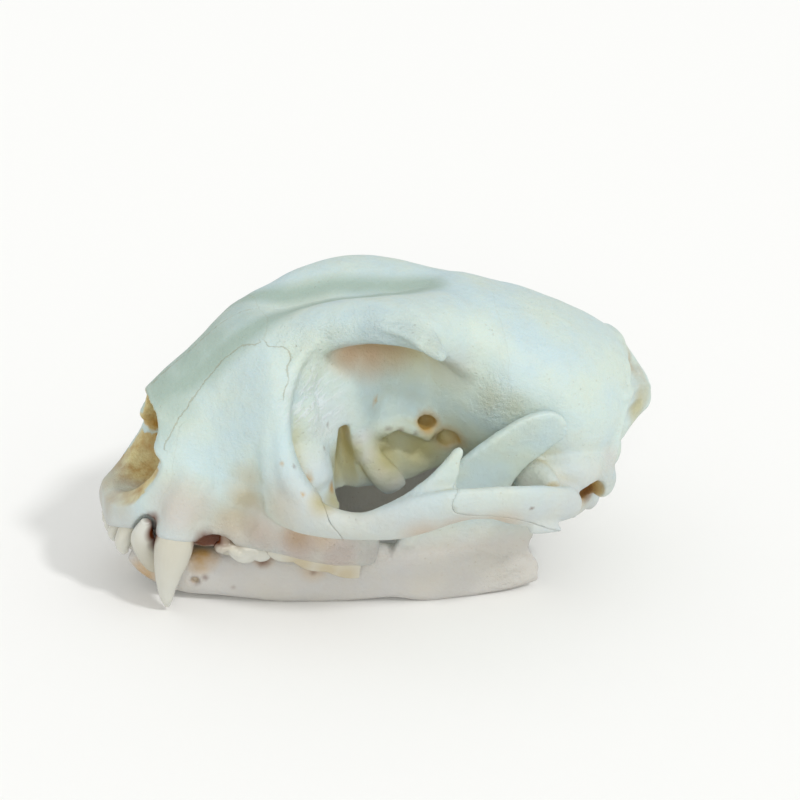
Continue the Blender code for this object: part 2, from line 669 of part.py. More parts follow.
def twin(made, name, collection):
    """The mirror image of a left bone, as a bone of its own."""
    shape = bmesh.new()
    shape.from_mesh(made.data)
    bmesh.ops.scale(shape, vec=(1.0, -1.0, 1.0), verts=shape.verts)
    bmesh.ops.reverse_faces(shape, faces=shape.faces)
    return as_object(name, shape, collection)


def loose_surfaces(shape):
    """The faces of each closed surface, the largest surface first."""
    left = set(shape.faces)
    surfaces = []
    while left:
        surface = set()
        waiting = [left.pop()]
        while waiting:
            face = waiting.pop()
            surface.add(face)
            for edge in face.edges:
                for near in edge.link_faces:
                    if near in left:
                        left.discard(near)
                        waiting.append(near)
        surfaces.append(surface)
    return sorted(surfaces, key=len, reverse=True)


def only_surface(made, rank):
    """Keeps one closed surface of a mesh: rank 0 is the largest."""
    shape = bmesh.new()
    shape.from_mesh(made.data)
    for n, surface in enumerate(loose_surfaces(shape)):
        if n != rank:
            bmesh.ops.delete(shape, geom=list(surface), context="FACES")
    shape.to_mesh(made.data)
    shape.free()
    return made


def cut_flats(made, level):
    """Takes the lowest sliver off, for the faces the skull rests on."""
    shape = bmesh.new()
    shape.from_mesh(made.data)
    bmesh.ops.bisect_plane(
        shape, geom=shape.verts[:] + shape.edges[:] + shape.faces[:], dist=1e-5,
        plane_co=(0, 0, level), plane_no=(0, 0, -1), clear_outer=True,
    )
    bmesh.ops.holes_fill(shape, edges=[e for e in shape.edges if e.is_boundary], sides=0)
    bmesh.ops.triangulate(shape, faces=[f for f in shape.faces if len(f.verts) > 4])
    shape.to_mesh(made.data)
    shape.free()


def build_cranium(collection):
    """The cranium and the left cheek bone, parted along their two open joints."""
    clay = bmesh.new()
    face_and_vault(clay)
    brow_and_eye_rim(clay)
    socket_floor(clay)
    cheek_arch(clay)
    skull_base(clay)
    upper_teeth(clay)
    cranium = skin(as_object("cranium", clay, collection), SKIN_VOXEL, 2)
    holes = bmesh.new()
    openings_of_cranium(holes)
    holes = skin(as_object("holes", holes, collection), SKIN_VOXEL, 1)
    cut(cranium, holes)
    thin_out(cranium, CRANIUM_FACES)
    left_half(cranium)
    only_surface(whole_from_half(cranium), 0)
    cut(cranium, ribbon(CHEEK_TO_FACE, 23.6, 48.0, "joint_to_face", collection))
    cut(cranium, ribbon(CHEEK_TO_TEMPLE, 31.5, 48.0, "joint_to_temple", collection))
    cheek = bpy.data.objects.new("zygomatic_left", cranium.data.copy())
    collection.objects.link(cheek)
    only_surface(cheek, 1)
    only_surface(cranium, 0)
    left_half(cranium)
    return whole_from_half(cranium), cheek


def build_jaw(collection):
    clay = bmesh.new()
    jaw_body(clay)
    lower_teeth(clay)
    jaw = skin(as_object("mandible_left", clay, collection), SKIN_VOXEL, 2)
    holes = bmesh.new()
    openings_of_jaw(holes)
    holes = skin(as_object("pits", holes, collection), SKIN_VOXEL, 1)
    cut(jaw, holes)
    thin_out(jaw, JAW_FACES)
    cut_flats(jaw, -JAW_DEPTH)
    shape = bmesh.new()
    shape.from_mesh(jaw.data)
    bmesh.ops.bisect_plane(
        shape, geom=shape.verts[:] + shape.edges[:] + shape.faces[:], dist=1e-5,
        plane_co=(0, -SUTURE_GAP / 2, 0), plane_no=(0, 1, 0), clear_outer=True,
    )
    bmesh.ops.holes_fill(shape, edges=[e for e in shape.edges if e.is_boundary], sides=0)
    bmesh.ops.triangulate(shape, faces=[f for f in shape.faces if len(f.verts) > 4])
    shape.to_mesh(jaw.data)
    shape.free()
    return only_surface(jaw, 0)


def triangulated(made):
    shape = bmesh.new()
    shape.from_mesh(made.data)
    bmesh.ops.triangulate(shape, faces=shape.faces[:])
    shape.to_mesh(made.data)
    shape.free()


def set_on_floor(bones):
    """Moves the bones so that their box stands on the floor over the origin, in metres."""
    spots = np.array([v.co for bone in bones for v in bone.data.vertices])
    low = spots.min(axis=0)
    high = spots.max(axis=0)
    shift = Vector((-(low[0] + high[0]) / 2, 0.0, -low[2]))
    place = Matrix.Scale(MM, 4) @ Matrix.Translation(shift)
    for bone in bones:
        bone.data.transform(place)
    return shift


def main():
    start_clean()
    collection = bpy.data.collections.new("caracal_skull")
    bpy.context.scene.collection.children.link(collection)
    cranium, cheek = build_cranium(collection)
    jaw = build_jaw(collection)
    bones = [
        cranium,
        cheek,
        twin(cheek, "zygomatic_right", collection),
        jaw,
        twin(jaw, "mandible_right", collection),
    ]
    shift = set_on_floor(bones)
    bone = bone_material("Dry bone", BONE_COLOUR, 0.55)
    for made in bones:
        triangulated(made)
        made.data.materials.clear()
        made.data.materials.append(bone)
        print(made.name, len(made.data.polygons), "triangles")
    print("moved by", tuple(round(v, 3) for v in shift))


main()
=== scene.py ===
# %% [markdown]
# # The skull of a caracal, as a still life-size model
# A skull is one long, closed, smooth surface with crests, openings and joints in it. This
# lesson models it as a sculptor would: named lumps, bars and tubes of clay are laid down on
# the skull's own lines, fused into one skin, hollowed, and then pressed and raised by hand.
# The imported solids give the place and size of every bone, and the new pieces stand in them.

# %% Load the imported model
import math
from contextlib import contextmanager

import bmesh
import bpy
import numpy as np
from mathutils import Matrix, Vector, noise


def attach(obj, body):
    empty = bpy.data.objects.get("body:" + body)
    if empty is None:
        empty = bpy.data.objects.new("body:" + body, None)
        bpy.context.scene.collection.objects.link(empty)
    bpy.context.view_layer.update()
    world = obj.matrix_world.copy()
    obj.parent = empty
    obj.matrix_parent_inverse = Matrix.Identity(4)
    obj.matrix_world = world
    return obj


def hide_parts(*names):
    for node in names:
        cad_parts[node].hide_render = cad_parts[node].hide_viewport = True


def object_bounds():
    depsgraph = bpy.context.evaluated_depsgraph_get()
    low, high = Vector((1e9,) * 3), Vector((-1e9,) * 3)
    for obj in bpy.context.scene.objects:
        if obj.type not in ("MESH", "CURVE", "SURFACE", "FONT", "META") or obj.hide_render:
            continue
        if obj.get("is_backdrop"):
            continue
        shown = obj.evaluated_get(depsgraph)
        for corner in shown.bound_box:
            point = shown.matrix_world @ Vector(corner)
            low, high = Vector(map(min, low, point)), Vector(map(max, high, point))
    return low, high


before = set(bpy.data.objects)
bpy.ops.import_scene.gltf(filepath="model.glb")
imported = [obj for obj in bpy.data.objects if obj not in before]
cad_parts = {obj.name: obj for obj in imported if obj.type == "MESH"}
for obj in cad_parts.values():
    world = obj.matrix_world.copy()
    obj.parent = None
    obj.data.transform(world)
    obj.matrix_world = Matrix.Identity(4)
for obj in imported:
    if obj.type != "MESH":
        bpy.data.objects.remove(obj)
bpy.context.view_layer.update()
scene = bpy.context.scene
print("solids:", sorted(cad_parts))

# %% [markdown]
# ## Camera
# The photograph looks at the animal's left side from in front and above, so near that the
# perspective shows. The aim, the direction and the lens below give the same view. A camera
# can be turned by three angles, but a matrix of its own three directions is easier to read:
# where its right side, its top and its back point.

# %% Camera
MM = 0.001
TO_FRAME = Vector((-60.686, 0.0, 18.4))   # from the skull's own lines to the frame, mm
VIEW_AZIMUTH = -18.19
VIEW_ELEVATION = 23.36
VIEW_ROLL = 3.16
VIEW_DISTANCE = 361.6
VIEW_AIM = Vector((63.12, 0.36, 18.66))
LENS = 76.62               # this and the width of the sensor are in mm
SENSOR = 36.0


def out_to(azimuth, elevation):
    """The direction from the skull to a camera or a lamp, from its angles in degrees."""
    a, e = math.radians(azimuth), math.radians(elevation)
    return Vector((math.sin(a) * math.cos(e), -math.cos(a) * math.cos(e), math.sin(e)))


def turned_camera(name, aim, azimuth, elevation, roll, distance, lens):
    a, r = math.radians(azimuth), math.radians(roll)
    back = out_to(azimuth, elevation)
    level = Vector((math.cos(a), math.sin(a), 0.0))
    upright = back.cross(level)
    right = level * math.cos(r) + upright * math.sin(r)
    top = upright * math.cos(r) - level * math.sin(r)
    data = bpy.data.cameras.new(name)
    data.lens = lens
    data.sensor_width = SENSOR
    data.clip_start = 0.01
    made = bpy.data.objects.new(name, data)
    made.matrix_world = Matrix((right, top, back)).transposed().to_4x4()
    made.location = (aim + TO_FRAME + back * distance) * MM
    scene.collection.objects.link(made)
    return made


camera = turned_camera("camera", VIEW_AIM, VIEW_AZIMUTH, VIEW_ELEVATION, VIEW_ROLL,
                       VIEW_DISTANCE, LENS)
scene.camera = camera
print("camera at", [round(v, 3) for v in camera.location])

# %% [markdown]
# ## Clay tools
# Bones have no flat faces and few straight lines, so boxes and cylinders are no help. Two
# shapes cover nearly all of it: a *trunk* on the middle plane, such as the snout, and a
# *limb*, a bar of oval section that follows a curve, such as the cheek arch. Both are grids
# that are bent round a row of rings. A Remesh modifier on a voxel grid then fuses them.

# %% Smooth rows and tubes
RING = 24          # points round a tube
VOXEL = 0.45       # fineness of the bone surface, mm
TOOTH_VOXEL = 0.2  # and of teeth and small pits
TROUGH_HALF = 8.0  # half width of the trough down the forehead, mm
SNAP = 1e-3        # points this near to a cut are moved onto it, mm
TOUCH = 1e-5       # and points this near count as being there
FORWARD = (1, 0, 0)
OUTWARD = (0, 1, 0)


def smooth_rows(rows, gap, places=3):
    """Rows between the named ones on a smooth curve, about `gap` millimetres apart."""
    rows = np.array(rows, float)
    steps = np.linalg.norm(np.diff(rows[:, :places], axis=0), axis=1)
    knots = np.concatenate([[0.0], np.cumsum(steps)])
    slopes = np.gradient(rows, knots, axis=0)
    count = max(len(rows), int(knots[-1] / gap) + 2)
    out = []
    for at in np.linspace(0.0, knots[-1], count):
        i = min(int(np.searchsorted(knots, at, side="right")) - 1, len(rows) - 2)
        span = knots[i + 1] - knots[i]
        t = (at - knots[i]) / span
        out.append(
            (2 * t**3 - 3 * t**2 + 1) * rows[i]
            + (t**3 - 2 * t**2 + t) * span * slopes[i]
            + (3 * t**2 - 2 * t**3) * rows[i + 1]
            + (t**3 - t**2) * span * slopes[i + 1]
        )
    return np.array(out)


def add_to(clay, shape):
    mesh = bpy.data.meshes.new("more_clay")
    shape.to_mesh(mesh)
    shape.free()
    clay.from_mesh(mesh)
    bpy.data.meshes.remove(mesh)


def roll_up(clay, rings):
    """A closed tube through rings of equal length: a grid is bent round them and capped."""
    new = bmesh.new()
    around = len(rings[0])
    bmesh.ops.create_grid(new, x_segments=len(rings) - 1, y_segments=around, size=1.0)
    for vert in new.verts:
        ring = rings[round((vert.co.x + 1.0) / 2.0 * (len(rings) - 1))]
        vert.co = Vector(ring[round((vert.co.y + 1.0) / 2.0 * around) % around])
    bmesh.ops.remove_doubles(new, verts=new.verts, dist=TOUCH)
    bmesh.ops.holes_fill(new, edges=[e for e in new.edges if e.is_boundary], sides=0)
    bmesh.ops.recalc_face_normals(new, faces=new.faces)
    add_to(clay, new)


def power(value, squareness):
    return math.copysign(abs(value) ** (2.0 / squareness), value)


def trunk(clay, rows, low_squareness=2.4, trough=0.0):
    """A body on the middle plane. Row: x, squareness of its upper half, height of its
    widest line, lowest z, highest z, half width, and a share of the trough down its top."""
    rings = []
    for x, square, wide, low, high, half, dip in smooth_rows(rows, 2.0, places=1):
        ring = []
        for k in range(2 * RING):
            turn = math.pi * k / RING
            above = math.sin(turn) >= 0
            bend = square if above else low_squareness
            y = half * power(math.cos(turn), bend)
            z = wide + ((high - wide) if above else (wide - low)) * power(math.sin(turn), bend)
            if above:
                z -= trough * dip * math.exp(-((y / TROUGH_HALF) ** 2))
            ring.append((x, y, z))
        rings.append(ring)
    roll_up(clay, rings)


def limb(clay, rows, squareness=2.0, gap=1.5, up=None, lean=0.0, about=None):
    """A bar of oval section on the left side. Row: x, out, z, half thickness, half height.
    The height stands along `up`, or away from the point `about`, and leans by degrees."""
    rows = smooth_rows(rows, gap)
    rings = []
    for i, (x, out, z, thick, high) in enumerate(rows):
        place = Vector((x, -out, z))
        before = rows[max(i - 1, 0)]
        after = rows[min(i + 1, len(rows) - 1)]
        run = Vector((after[0] - before[0], before[1] - after[1], after[2] - before[2]))
        run.normalize()
        stand = (place - Vector(about)) if about else Vector(up or (0.0, 0.0, 1.0))
        stand = (stand - run * stand.dot(run)).normalized()
        stand = Matrix.Rotation(math.radians(lean), 3, run) @ stand
        side = run.cross(stand)
        ring = []
        for k in range(RING):
            turn = 2.0 * math.pi * k / RING
            ring.append(
                place
                + side * (thick * power(math.cos(turn), squareness))
                + stand * (high * power(math.sin(turn), squareness))
            )
        rings.append(ring)
    roll_up(clay, rings)


def lump(clay, centre, radii, turn=(0.0, 0.0, 0.0)):
    """An egg: centre is x, out, z; the turn is in degrees about x, y and z."""
    place = Matrix.Translation((centre[0], -centre[1], centre[2]))
    for axis, angle in zip("XYZ", turn):
        place = place @ Matrix.Rotation(math.radians(angle), 4, axis)
    bmesh.ops.create_uvsphere(
        clay, u_segments=32, v_segments=18, radius=1.0,
        matrix=place @ Matrix.Diagonal((*radii, 1.0)),
    )


def plate(clay, outline, thickness, out_at, lean, splay=0.0, middle=0.0):
    """A flat bone seen from the side, from its outline of x, z. It stands `out_at` from the
    middle plane and leans by `lean` a millimetre of height, `splay` a millimetre of length."""
    new = bmesh.new()
    loop = smooth_rows([(x, 0.0, z) for x, z in outline + outline[:1]], 1.0)[:-1]
    rim = [new.verts.new((x, -0.5 * thickness, z)) for x, _, z in loop]
    face = new.faces.new(rim)
    grown = bmesh.ops.extrude_face_region(new, geom=[face], use_keep_orig=True)
    far = [g for g in grown["geom"] if isinstance(g, bmesh.types.BMVert)]
    bmesh.ops.translate(new, verts=far, vec=(0.0, thickness, 0.0))
    bmesh.ops.triangulate(new, faces=[f for f in new.faces if len(f.verts) > 4])
    for vert in new.verts:
        vert.co.y -= out_at + lean * vert.co.z + splay * (vert.co.x - middle)
    bmesh.ops.recalc_face_normals(new, faces=new.faces)
    add_to(clay, new)


print("clay tools ready, voxel", VOXEL, "mm")

# %% [markdown]
# ## Skin, cuts and sculpting
# A voxel skin makes one closed surface of overlapping clay, whatever lies inside it. The
# Boolean modifier takes openings out of it. Fine forms come last: the points of the skin
# near a curve are pushed along their own normals, as a thumb presses a groove or a crest.

# %% Skin and cuts
def as_object(name, clay):
    mesh = bpy.data.meshes.new(name)
    clay.to_mesh(mesh)
    clay.free()
    made = bpy.data.objects.new(name, mesh)
    scene.collection.objects.link(made)
    return made


@contextmanager
def reshaped(made):
    """Lends the mesh of an object as a bmesh, and writes it back."""
    shape = bmesh.new()
    shape.from_mesh(made.data)
    yield shape
    shape.to_mesh(made.data)
    shape.free()


def apply_modifiers(made):
    graph = bpy.context.evaluated_depsgraph_get()
    mesh = bpy.data.meshes.new_from_object(made.evaluated_get(graph))
    made.modifiers.clear()
    old = made.data
    made.data = mesh
    bpy.data.meshes.remove(old)
    return made


def skin(made, voxel, smoothing):
    """Joins overlapping clay into one surface and softens its creases."""
    remesh = made.modifiers.new("Skin", "REMESH")
    remesh.mode = "VOXEL"
    remesh.voxel_size = voxel
    soft = made.modifiers.new("Soften", "SMOOTH")
    soft.factor = 0.5
    soft.iterations = smoothing
    return apply_modifiers(made)


def modelled(name, voxel, smoothing, *steps):
    """One skin round all the clay that the steps lay down."""
    clay = bmesh.new()
    for step in steps:
        step(clay)
    return skin(as_object(name, clay), voxel, smoothing)


def cut(made, cutter):
    knife = made.modifiers.new("Cut", "BOOLEAN")
    knife.operation = "DIFFERENCE"
    knife.solver = "EXACT"
    knife.object = cutter
    apply_modifiers(made)
    bpy.data.objects.remove(cutter, do_unlink=True)
    return made


def thin_out(made, triangles):
    have = sum(len(p.vertices) - 2 for p in made.data.polygons)
    if have > triangles:
        thinner = made.modifiers.new("Thin out", "DECIMATE")
        thinner.use_collapse_triangulate = True
        thinner.ratio = triangles / have
        apply_modifiers(made)
    return made


def slice_off(shape, place, facing):
    """Clears what lies past a plane."""
    bmesh.ops.bisect_plane(
        shape, geom=shape.verts[:] + shape.edges[:] + shape.faces[:], dist=TOUCH,
        plane_co=place, plane_no=facing, clear_outer=True,
    )


def close_up(shape):
    bmesh.ops.holes_fill(shape, edges=[e for e in shape.edges if e.is_boundary], sides=0)
    bmesh.ops.triangulate(shape, faces=[f for f in shape.faces if len(f.verts) > 4])


def one_side(made, level, close):
    """Clears what lies right of the plane y = level, and closes the section if asked."""
    with reshaped(made) as half:
        slice_off(half, (0, level, 0), (0, 1, 0))
        for vert in half.verts:
            if abs(vert.co.y - level) < SNAP:
                vert.co.y = level
        bmesh.ops.dissolve_degenerate(half, edges=half.edges[:], dist=SNAP)
        flat = [f for f in half.faces if all(abs(v.co.y - level) < TOUCH for v in f.verts)]
        bmesh.ops.delete(half, geom=flat, context="FACES")
        if close:
            close_up(half)


def both_sides(made):
    mirror = made.modifiers.new("Other side", "MIRROR")
    mirror.use_axis = (False, True, False)
    mirror.merge_threshold = 0.0001
    return apply_modifiers(made)


def twin(made, name):
    """The mirror image of a left piece, as a piece of its own."""
    shape = bmesh.new()
    shape.from_mesh(made.data)
    bmesh.ops.scale(shape, vec=(1.0, -1.0, 1.0), verts=shape.verts)
    bmesh.ops.reverse_faces(shape, faces=shape.faces)
    return as_object(name, shape)


def surfaces_of(shape):
    """The faces of each closed surface, the largest surface first."""
    left = set(shape.faces)
    found = []
    while left:
        surface = set()
        waiting = [left.pop()]
        while waiting:
            face = waiting.pop()
            surface.add(face)
            for edge in face.edges:
                for near in edge.link_faces:
                    if near in left:
                        left.discard(near)
                        waiting.append(near)
        found.append(surface)
    return sorted(found, key=len, reverse=True)


def only_surface(made, rank=0):
    with reshaped(made) as shape:
        for n, surface in enumerate(surfaces_of(shape)):
            if n != rank:
                bmesh.ops.delete(shape, geom=list(surface), context="FACES")
    return made


# %% Sculpting by numbers
def points_of(made):
    count = len(made.data.vertices)
    points = np.empty(count * 3)
    made.data.vertices.foreach_get("co", points)
    normals = np.empty(count * 3)
    made.data.vertex_normals.foreach_get("vector", normals)
    return points.reshape(-1, 3), normals.reshape(-1, 3)


SEARCH = 12.0      # points farther from a path than this are left out, mm
FAR = 99.0


def nearest_on(path, points):
    """For each point its distance to a path of closely set points, and the nearest one."""
    low = path.min(axis=0) - SEARCH
    high = path.max(axis=0) + SEARCH
    inside = np.all((points > low) & (points < high), axis=1)
    far = np.full(len(points), FAR)
    which = np.zeros(len(points), int)
    some = points[inside]
    best = np.full(len(some), 1e9)
    index = np.zeros(len(some), int)
    for k, place in enumerate(path):
        d = np.einsum("ij,ij->i", some - place, some - place)
        closer = d < best
        best[closer] = d[closer]
        index[closer] = k
    far[inside] = np.sqrt(best)
    which[inside] = index
    return far, which


def on_left(rows, gap=0.5):
    """A smooth path through rows of x, out, z on the left side."""
    path = smooth_rows(rows, gap) if len(rows) > 1 else np.array(rows, float)
    path = path[:, :3].copy()
    path[:, 1] *= -1.0
    return path


def raise_points(made, heights):
    """Moves every point along its own normal, each by its height in mm."""
    points, normals = points_of(made)
    points += normals * heights[:, None]
    made.data.vertices.foreach_set("co", points.ravel())
    made.data.update()


def press(made, rows, width, depth):
    """Presses a groove along a path, or raises a crest where the depth is negative."""
    far, _ = nearest_on(on_left(rows), points_of(made)[0])
    share = np.clip(1.0 - (far / width) ** 2, 0.0, 1.0) ** 2
    raise_points(made, -share * depth)


def weather(made, size, height, seed):
    """Slow swells over the whole surface: no bone is a perfect curve."""
    shift = Vector((seed * 7.3, seed * 3.1, seed * 5.7))
    swell = [noise.noise(Vector(p) / size + shift) for p in points_of(made)[0]]
    raise_points(made, np.array(swell) * height)


print("sculpting tools ready")

# %% [markdown]
# ## The cranium in clay
# The face, the forehead, the wall between the eye sockets and the braincase are four trunks
# that run into each other. The brow, the rims of the sockets, the arches and the parts of
# the skull base are limbs and eggs on the left side, and a mirror gives the right side.

# %% Face, forehead and braincase
def face_and_vault(clay):
    trunk(clay, [
        (0, 1.8, -0.4, -2.6, 2.6, 6.4, 0), (2.6, 1.8, 0.2, -2.4, 12, 9, 0),
        (5.6, 1.7, 0.8, -2.2, 21, 11.6, 0), (9, 1.6, 1.2, -2.2, 25.2, 14, 0),
        (13, 1.6, 1.8, -2, 29.2, 15.4, 0), (17, 1.75, 2.6, -1.4, 32.6, 15, 0),
        (21, 1.95, 4.4, -0.5, 36.2, 15.4, 0), (25, 2.2, 9, 0.5, 39.2, 17.6, 0),
        (29, 2.5, 14, 1.5, 41, 20.4, 0), (32, 2.8, 16, 2.5, 41.4, 21.4, 0),
        (34.6, 3, 17, 4, 40.8, 19.4, 0),
    ], low_squareness=2.6)
    # Forehead, with a trough down its middle.
    trunk(clay, [
        (25, 2.2, 30, 22, 38, 9, 0), (29, 2.3, 32, 22, 41.4, 12.6, 0.1),
        (33, 2.5, 34.5, 23, 43.2, 15, 0.45), (37, 2.8, 37, 27, 44.8, 14.6, 0.8),
        (41, 3, 39.4, 32, 46.2, 15.2, 1), (47, 3, 41, 36, 47.2, 17.4, 1),
        (52, 3, 41.4, 37.4, 47.4, 19.8, 1), (57, 3, 41, 37, 47.4, 21.4, 0.95),
        (62, 3, 39.4, 35.4, 47, 21.8, 0.85), (67, 2.9, 36.4, 32, 46.8, 19.6, 0.6),
        (72, 2.6, 33, 26, 46, 18.4, 0.3), (78, 2.3, 30, 20, 44.4, 20, 0),
    ], trough=4.6)
    # The wall between the eye sockets.
    trunk(clay, [
        (27, 2.6, 14, 4, 34, 14, 0), (34, 2.8, 18, 4, 38, 15.2, 0), (40, 2.8, 20, 4, 40, 14.4, 0),
        (47, 2.8, 22, 4.5, 41, 13.6, 0), (53, 2.8, 23, 6, 41, 12.8, 0),
        (59, 2.8, 22, 8, 41, 10.8, 0), (65, 2.6, 21, 9, 41.4, 10.2, 0),
        (71, 2.4, 22, 9, 42.4, 13.2, 0), (76, 2.2, 24, 8, 43, 17, 0),
    ])
    # Braincase, drawn out into the bulging back of the head.
    trunk(clay, [
        (60, 2.2, 28, 20, 38, 3, 0), (66, 2.2, 28, 13, 43, 10.4, 0), (72, 2.3, 27, 9, 45.6, 17, 0),
        (78, 2.3, 23.5, 5, 44.8, 22.4, 0), (85, 2.15, 20, 2, 43, 24.9, 0),
        (91, 2.1, 18.4, 1, 41.2, 25.8, 0), (96, 2.05, 18, 1, 39.4, 25.2, 0),
        (102, 2, 18, 2.6, 37, 22.6, 0), (107.5, 2, 18, 6, 34, 17.8, 0),
        (112.5, 2, 17.4, 9.2, 30, 12, 0), (116.4, 1.9, 16.8, 11.6, 25.2, 7.8, 0),
        (119.8, 1.9, 16.2, 13.2, 20.6, 4.4, 0), (121.4, 2, 15.8, 14.8, 16.8, 1.2, 0),
    ], low_squareness=2.0)


# %% Brow, eye rims and cheek arch
def brow_and_eye_rim(clay):
    limb(clay, [
        (46, 10.6, 43.6, 1.2, 2.6), (53, 16, 43.7, 1.4, 4.2), (58.6, 21, 42.5, 1.3, 3.4),
        (61.4, 24, 40.2, 1.2, 2.6), (63.4, 25.8, 38.4, 0.8, 1.2),
    ], up=(1.0, 0.4, 0.0))
    limb(clay, [
        (37, 27.4, 9.4, 3, 3.2), (33.6, 24, 14.4, 2.9, 3), (32.4, 20.6, 20.6, 2.3, 2.4),
        (32.8, 18, 28, 2, 2.2), (35.6, 15.2, 34.8, 1.8, 2.2), (40.5, 13.4, 39.4, 1.6, 2),
        (47, 14.6, 41.6, 1.2, 1.6),
    ], up=OUTWARD)
    # The wall behind that rim, almost flush with it at the top.
    limb(clay, [
        (37.4, 13.8, 18, 1.8, 4.6), (37.4, 13.9, 23, 1.8, 5), (37.8, 13.6, 28, 1.8, 5),
        (39.6, 12.8, 32.6, 1.8, 5), (42, 11.9, 36.4, 1.6, 4.4),
    ], up=(0.87, 0.49, 0.0))
    # The bone that slopes from the rim to the face.
    limb(clay, [
        (37, 25.6, 7.4, 3, 3.4), (32.4, 21.6, 12.4, 3.6, 3.6), (31, 18.6, 19, 3.4, 3.6),
        (31.2, 16, 27, 3, 3.4),
    ], up=OUTWARD)


def socket_floor(clay):
    """The swelling of the upper jaw that fills the front of the eye socket's floor."""
    limb(clay, [
        (36.6, 11.4, 29, 4, 4.6), (36.8, 11.6, 24, 5.2, 5.6), (37.2, 11, 18.6, 5.6, 7),
        (37.4, 12.4, 12, 6.6, 7.4), (38.4, 14, 6, 6.8, 7.4), (41, 16.6, 3, 4.4, 6),
        (44.4, 18.4, 1.4, 2.6, 4.6),
    ], up=FORWARD)
    # The crest that overhangs the back of the socket, and the strip of bone below it.
    limb(clay, [
        (51, 10.8, 17, 1.2, 1.6), (55, 11, 18, 1.7, 2.2), (59, 10.8, 17.6, 1.9, 2.2),
        (63, 10.4, 16.2, 1.7, 2), (67, 10.4, 14.6, 1.2, 1.5),
    ])
    limb(clay, [
        (50.6, 10.6, 19.4, 1.8, 2.2), (53, 11, 12.6, 2, 2.5), (55.6, 11, 8.6, 2, 3),
        (58.4, 10.4, 5, 1.8, 3.2), (60, 9.6, 2.8, 1.2, 2.8),
    ], up=FORWARD)


def cheek_arch(clay):
    limb(clay, [
        (28.8, 11, 9.4, 3, 4), (30.8, 18.6, 8.8, 3.3, 5.4), (34.2, 25, 8, 3.2, 4.8),
        (39, 29.6, 7.6, 2.6, 3.9), (44, 32.4, 7.4, 2.3, 3.2), (50, 35.2, 8.6, 2.1, 4.2),
        (56, 37.6, 11.2, 2.1, 4.8), (62, 39.4, 13.4, 2, 4.4), (70, 39.5, 13.5, 1.9, 4),
        (77, 39, 12, 2, 5), (82.5, 37, 10.4, 2.2, 4.7), (87, 34.8, 9, 2.3, 4.2),
        (90.2, 31.6, 7.2, 2.3, 2.8), (91.2, 27, 7, 2.4, 2.8), (92.6, 21.6, 8, 3, 3.6),
    ], lean=18.0)
    # The shelf above the jaw joint.
    limb(clay, [
        (83, 22, 11.6, 2.6, 3), (85, 27, 11.8, 2.4, 3), (86, 32, 11, 2, 2.4),
    ])
    plate(clay, [
        (44, 9.2), (47.5, 11.7), (51.6, 13.9), (55.6, 16.6), (58.7, 19.5), (61.1, 22.6),
        (62.6, 24.6), (63.7, 25.2), (64.3, 24.2), (63.7, 22), (63.6, 19.8), (63, 17.4), (62, 13),
        (56, 8.6), (49, 6.6),
    ], thickness=2.2, out_at=37.0, lean=-0.04, splay=0.17, middle=57.0)
    limb(clay, [
        (79, 38.4, 6.8, 1.2, 1.8), (83.4, 37.7, 5.6, 0.9, 1.3), (86.6, 37, 4.4, 0.5, 0.6),
    ])


